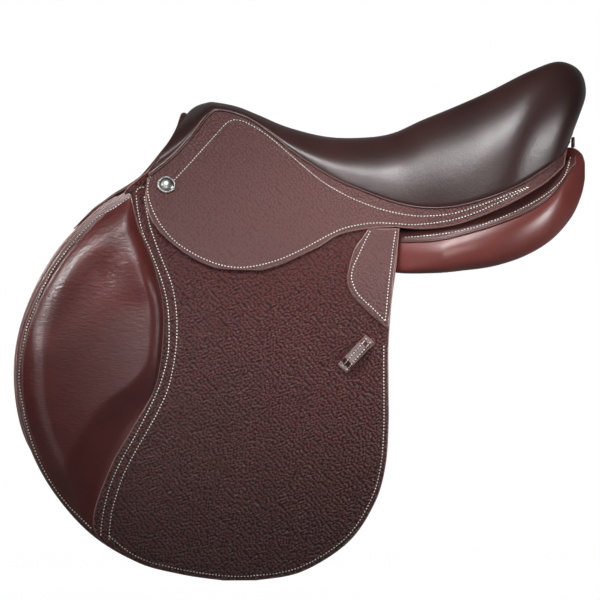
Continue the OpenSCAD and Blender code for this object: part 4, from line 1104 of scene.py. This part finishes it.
# %% Floor and sky
FLOOR_HALF, FLOOR_GAP = 4.0, 0.002
PAPER_GREY, PAPER_SEEN, PAPER_MIRRORED = "#606060", 0.99, 0.3
SKY_LIGHT, SKY_MIRRORED = (0.035, 0.09), (0.03, 0.3)
WHITE = (1, 1, 1, 1)
level = solid_box[0].z - FLOOR_GAP
corners = [(FLOOR_HALF * x, FLOOR_HALF * y, level) for x, y in ((-1, -1), (1, -1), (1, 1), (-1, 1))]
floor_mesh = bpy.data.meshes.new("floor")
floor_mesh.from_pydata(corners, [], [(0, 1, 2, 3)])
floor = bpy.data.objects.new("floor", floor_mesh)
bpy.context.scene.collection.objects.link(floor)
paper, tree = new_material("white_paper")
seen = add(tree, "ShaderNodeLightPath")
matt = add(tree, "ShaderNodeBsdfDiffuse", {"Color": linear(PAPER_GREY)})
mirror = add(tree, "ShaderNodeMath", {0: seen.outputs["Is Glossy Ray"], 1: PAPER_MIRRORED,
                                      2: seen.outputs["Is Transmission Ray"]}, operation="MULTIPLY_ADD")
share = add(tree, "ShaderNodeMath", {0: seen.outputs["Is Camera Ray"], 1: mirror.outputs[0]},
            operation="MAXIMUM")
level_seen = add(tree, "ShaderNodeMath", {0: share.outputs[0], 1: PAPER_SEEN}, operation="MULTIPLY")
glow = add(tree, "ShaderNodeEmission", {"Color": WHITE, "Strength": level_seen.outputs[0]})
both = add(tree, "ShaderNodeAddShader", {0: matt.outputs[0], 1: glow.outputs[0]})
add(tree, "ShaderNodeOutputMaterial", {"Surface": both.outputs[0]})
floor_mesh.materials.append(paper)

world = bpy.data.worlds.new("studio_sky")
bpy.context.scene.world = world
world.use_nodes = True
tree = world.node_tree
tree.nodes.clear()
way = add(tree, "ShaderNodeTexCoord")
parts = add(tree, "ShaderNodeSeparateXYZ", {0: way.outputs["Generated"]})
far_light = add(tree, "ShaderNodeMapRange", {"Value": parts.outputs["Y"], "From Min": -0.1, "From Max": 0.9,
                                             "To Min": SKY_LIGHT[0], "To Max": SKY_LIGHT[1]})
far_seen = add(tree, "ShaderNodeMapRange", {"Value": parts.outputs["Y"], "From Min": 0.8, "From Max": 1.0,
                                            "To Min": SKY_MIRRORED[0], "To Max": SKY_MIRRORED[1]})
seen = add(tree, "ShaderNodeLightPath")
mirrored = add(tree, "ShaderNodeMix", {0: seen.outputs["Is Glossy Ray"], 2: far_light.outputs[0],
                                       3: far_seen.outputs[0]})
clear = add(tree, "ShaderNodeMath", {0: seen.outputs["Is Camera Ray"],
                                     1: seen.outputs["Is Transmission Ray"]}, operation="MAXIMUM")
strength = add(tree, "ShaderNodeMix", {0: clear.outputs[0], 2: mirrored.outputs[0], 3: 1.0})
sky = add(tree, "ShaderNodeBackground", {"Color": WHITE, "Strength": strength.outputs[0]})
add(tree, "ShaderNodeOutputWorld", {"Surface": sky.outputs[0]})
print("floor at", round(level, 4))


# %% Lamps
# Each lamp's place and aim in metres, its width and height, its power in watts and its beam in degrees
LAMPS = {"key_softbox": ((-0.15, -0.73, 0.9), (0.03, -0.12, 0.04), 0.36, 0.34, 1.3, 54),
         "seat_softbox": ((-0.2, -0.88, 0.58), (0.12, -0.12, 0.06), 0.26, 0.26, 0.16, 40),
         "flap_softbox": ((-0.03, -1.1, 0.2), (-0.04, -0.13, -0.08), 0.3, 0.3, 0.16, 20),
         "knee_softbox": ((-0.87, -0.75, 0.62), (-0.315, -0.14, -0.08), 0.2, 0.2, 0.22, 20),
         "rear_softbox": ((1.1, -0.75, 0.2), (0.23, -0.12, -0.05), 0.3, 0.3, 0.4, 28),
         "fill_softbox": ((-0.9, -1.25, -0.05), (-0.26, -0.14, -0.16), 0.5, 0.4, 0.14, 60),
         "back_softbox": ((0.0, 1.3, 0.0), (-0.03, 0.12, -0.1), 0.5, 0.3, 1.1, 48)}
for name, (spot, aim, width, height, watts, beam) in LAMPS.items():
    data = bpy.data.lights.new(name, "AREA")
    data.shape, data.size, data.size_y, data.energy = "RECTANGLE", width, height, watts
    data.spread = math.radians(beam)
    light = bpy.data.objects.new(name, data)
    light.location = spot
    light.rotation_euler = (Vector(aim) - Vector(spot)).to_track_quat("-Z", "Y").to_euler()
    bpy.context.scene.collection.objects.link(light)

# %% [markdown]
# ## Camera
# The photograph is 600 pixels square and one pixel is 1.068 mm at the saddle, so the frame is 641 mm wide
# there. A very long lens, 30 m away, keeps the sides of the saddle as parallel as they look.

# %% Camera
FRAME_PX, DISTANCE, SENSOR_MM, NEAR_SIDE_Y = 600, 30.0, 36.0, -60
mid_x, mid_z = from_picture([[FRAME_PX / 2, FRAME_PX / 2]])[0]
aim = Vector((mid_x, NEAR_SIDE_Y, mid_z)) * MM
camera_data = bpy.data.cameras.new("camera")
camera_data.sensor_width = SENSOR_MM
camera_data.lens = SENSOR_MM * DISTANCE / (FRAME_PX * PX_MM * MM)
camera_data.clip_end = 100
camera = bpy.data.objects.new("camera", camera_data)
camera.location = aim - Vector((0, DISTANCE, 0))
camera.rotation_euler = (aim - camera.location).to_track_quat("-Z", "Y").to_euler()
bpy.context.scene.collection.objects.link(camera)
bpy.context.scene.camera = camera
bpy.context.scene.view_settings.view_transform = "Standard"
print("lens", round(camera_data.lens, 1), "mm")
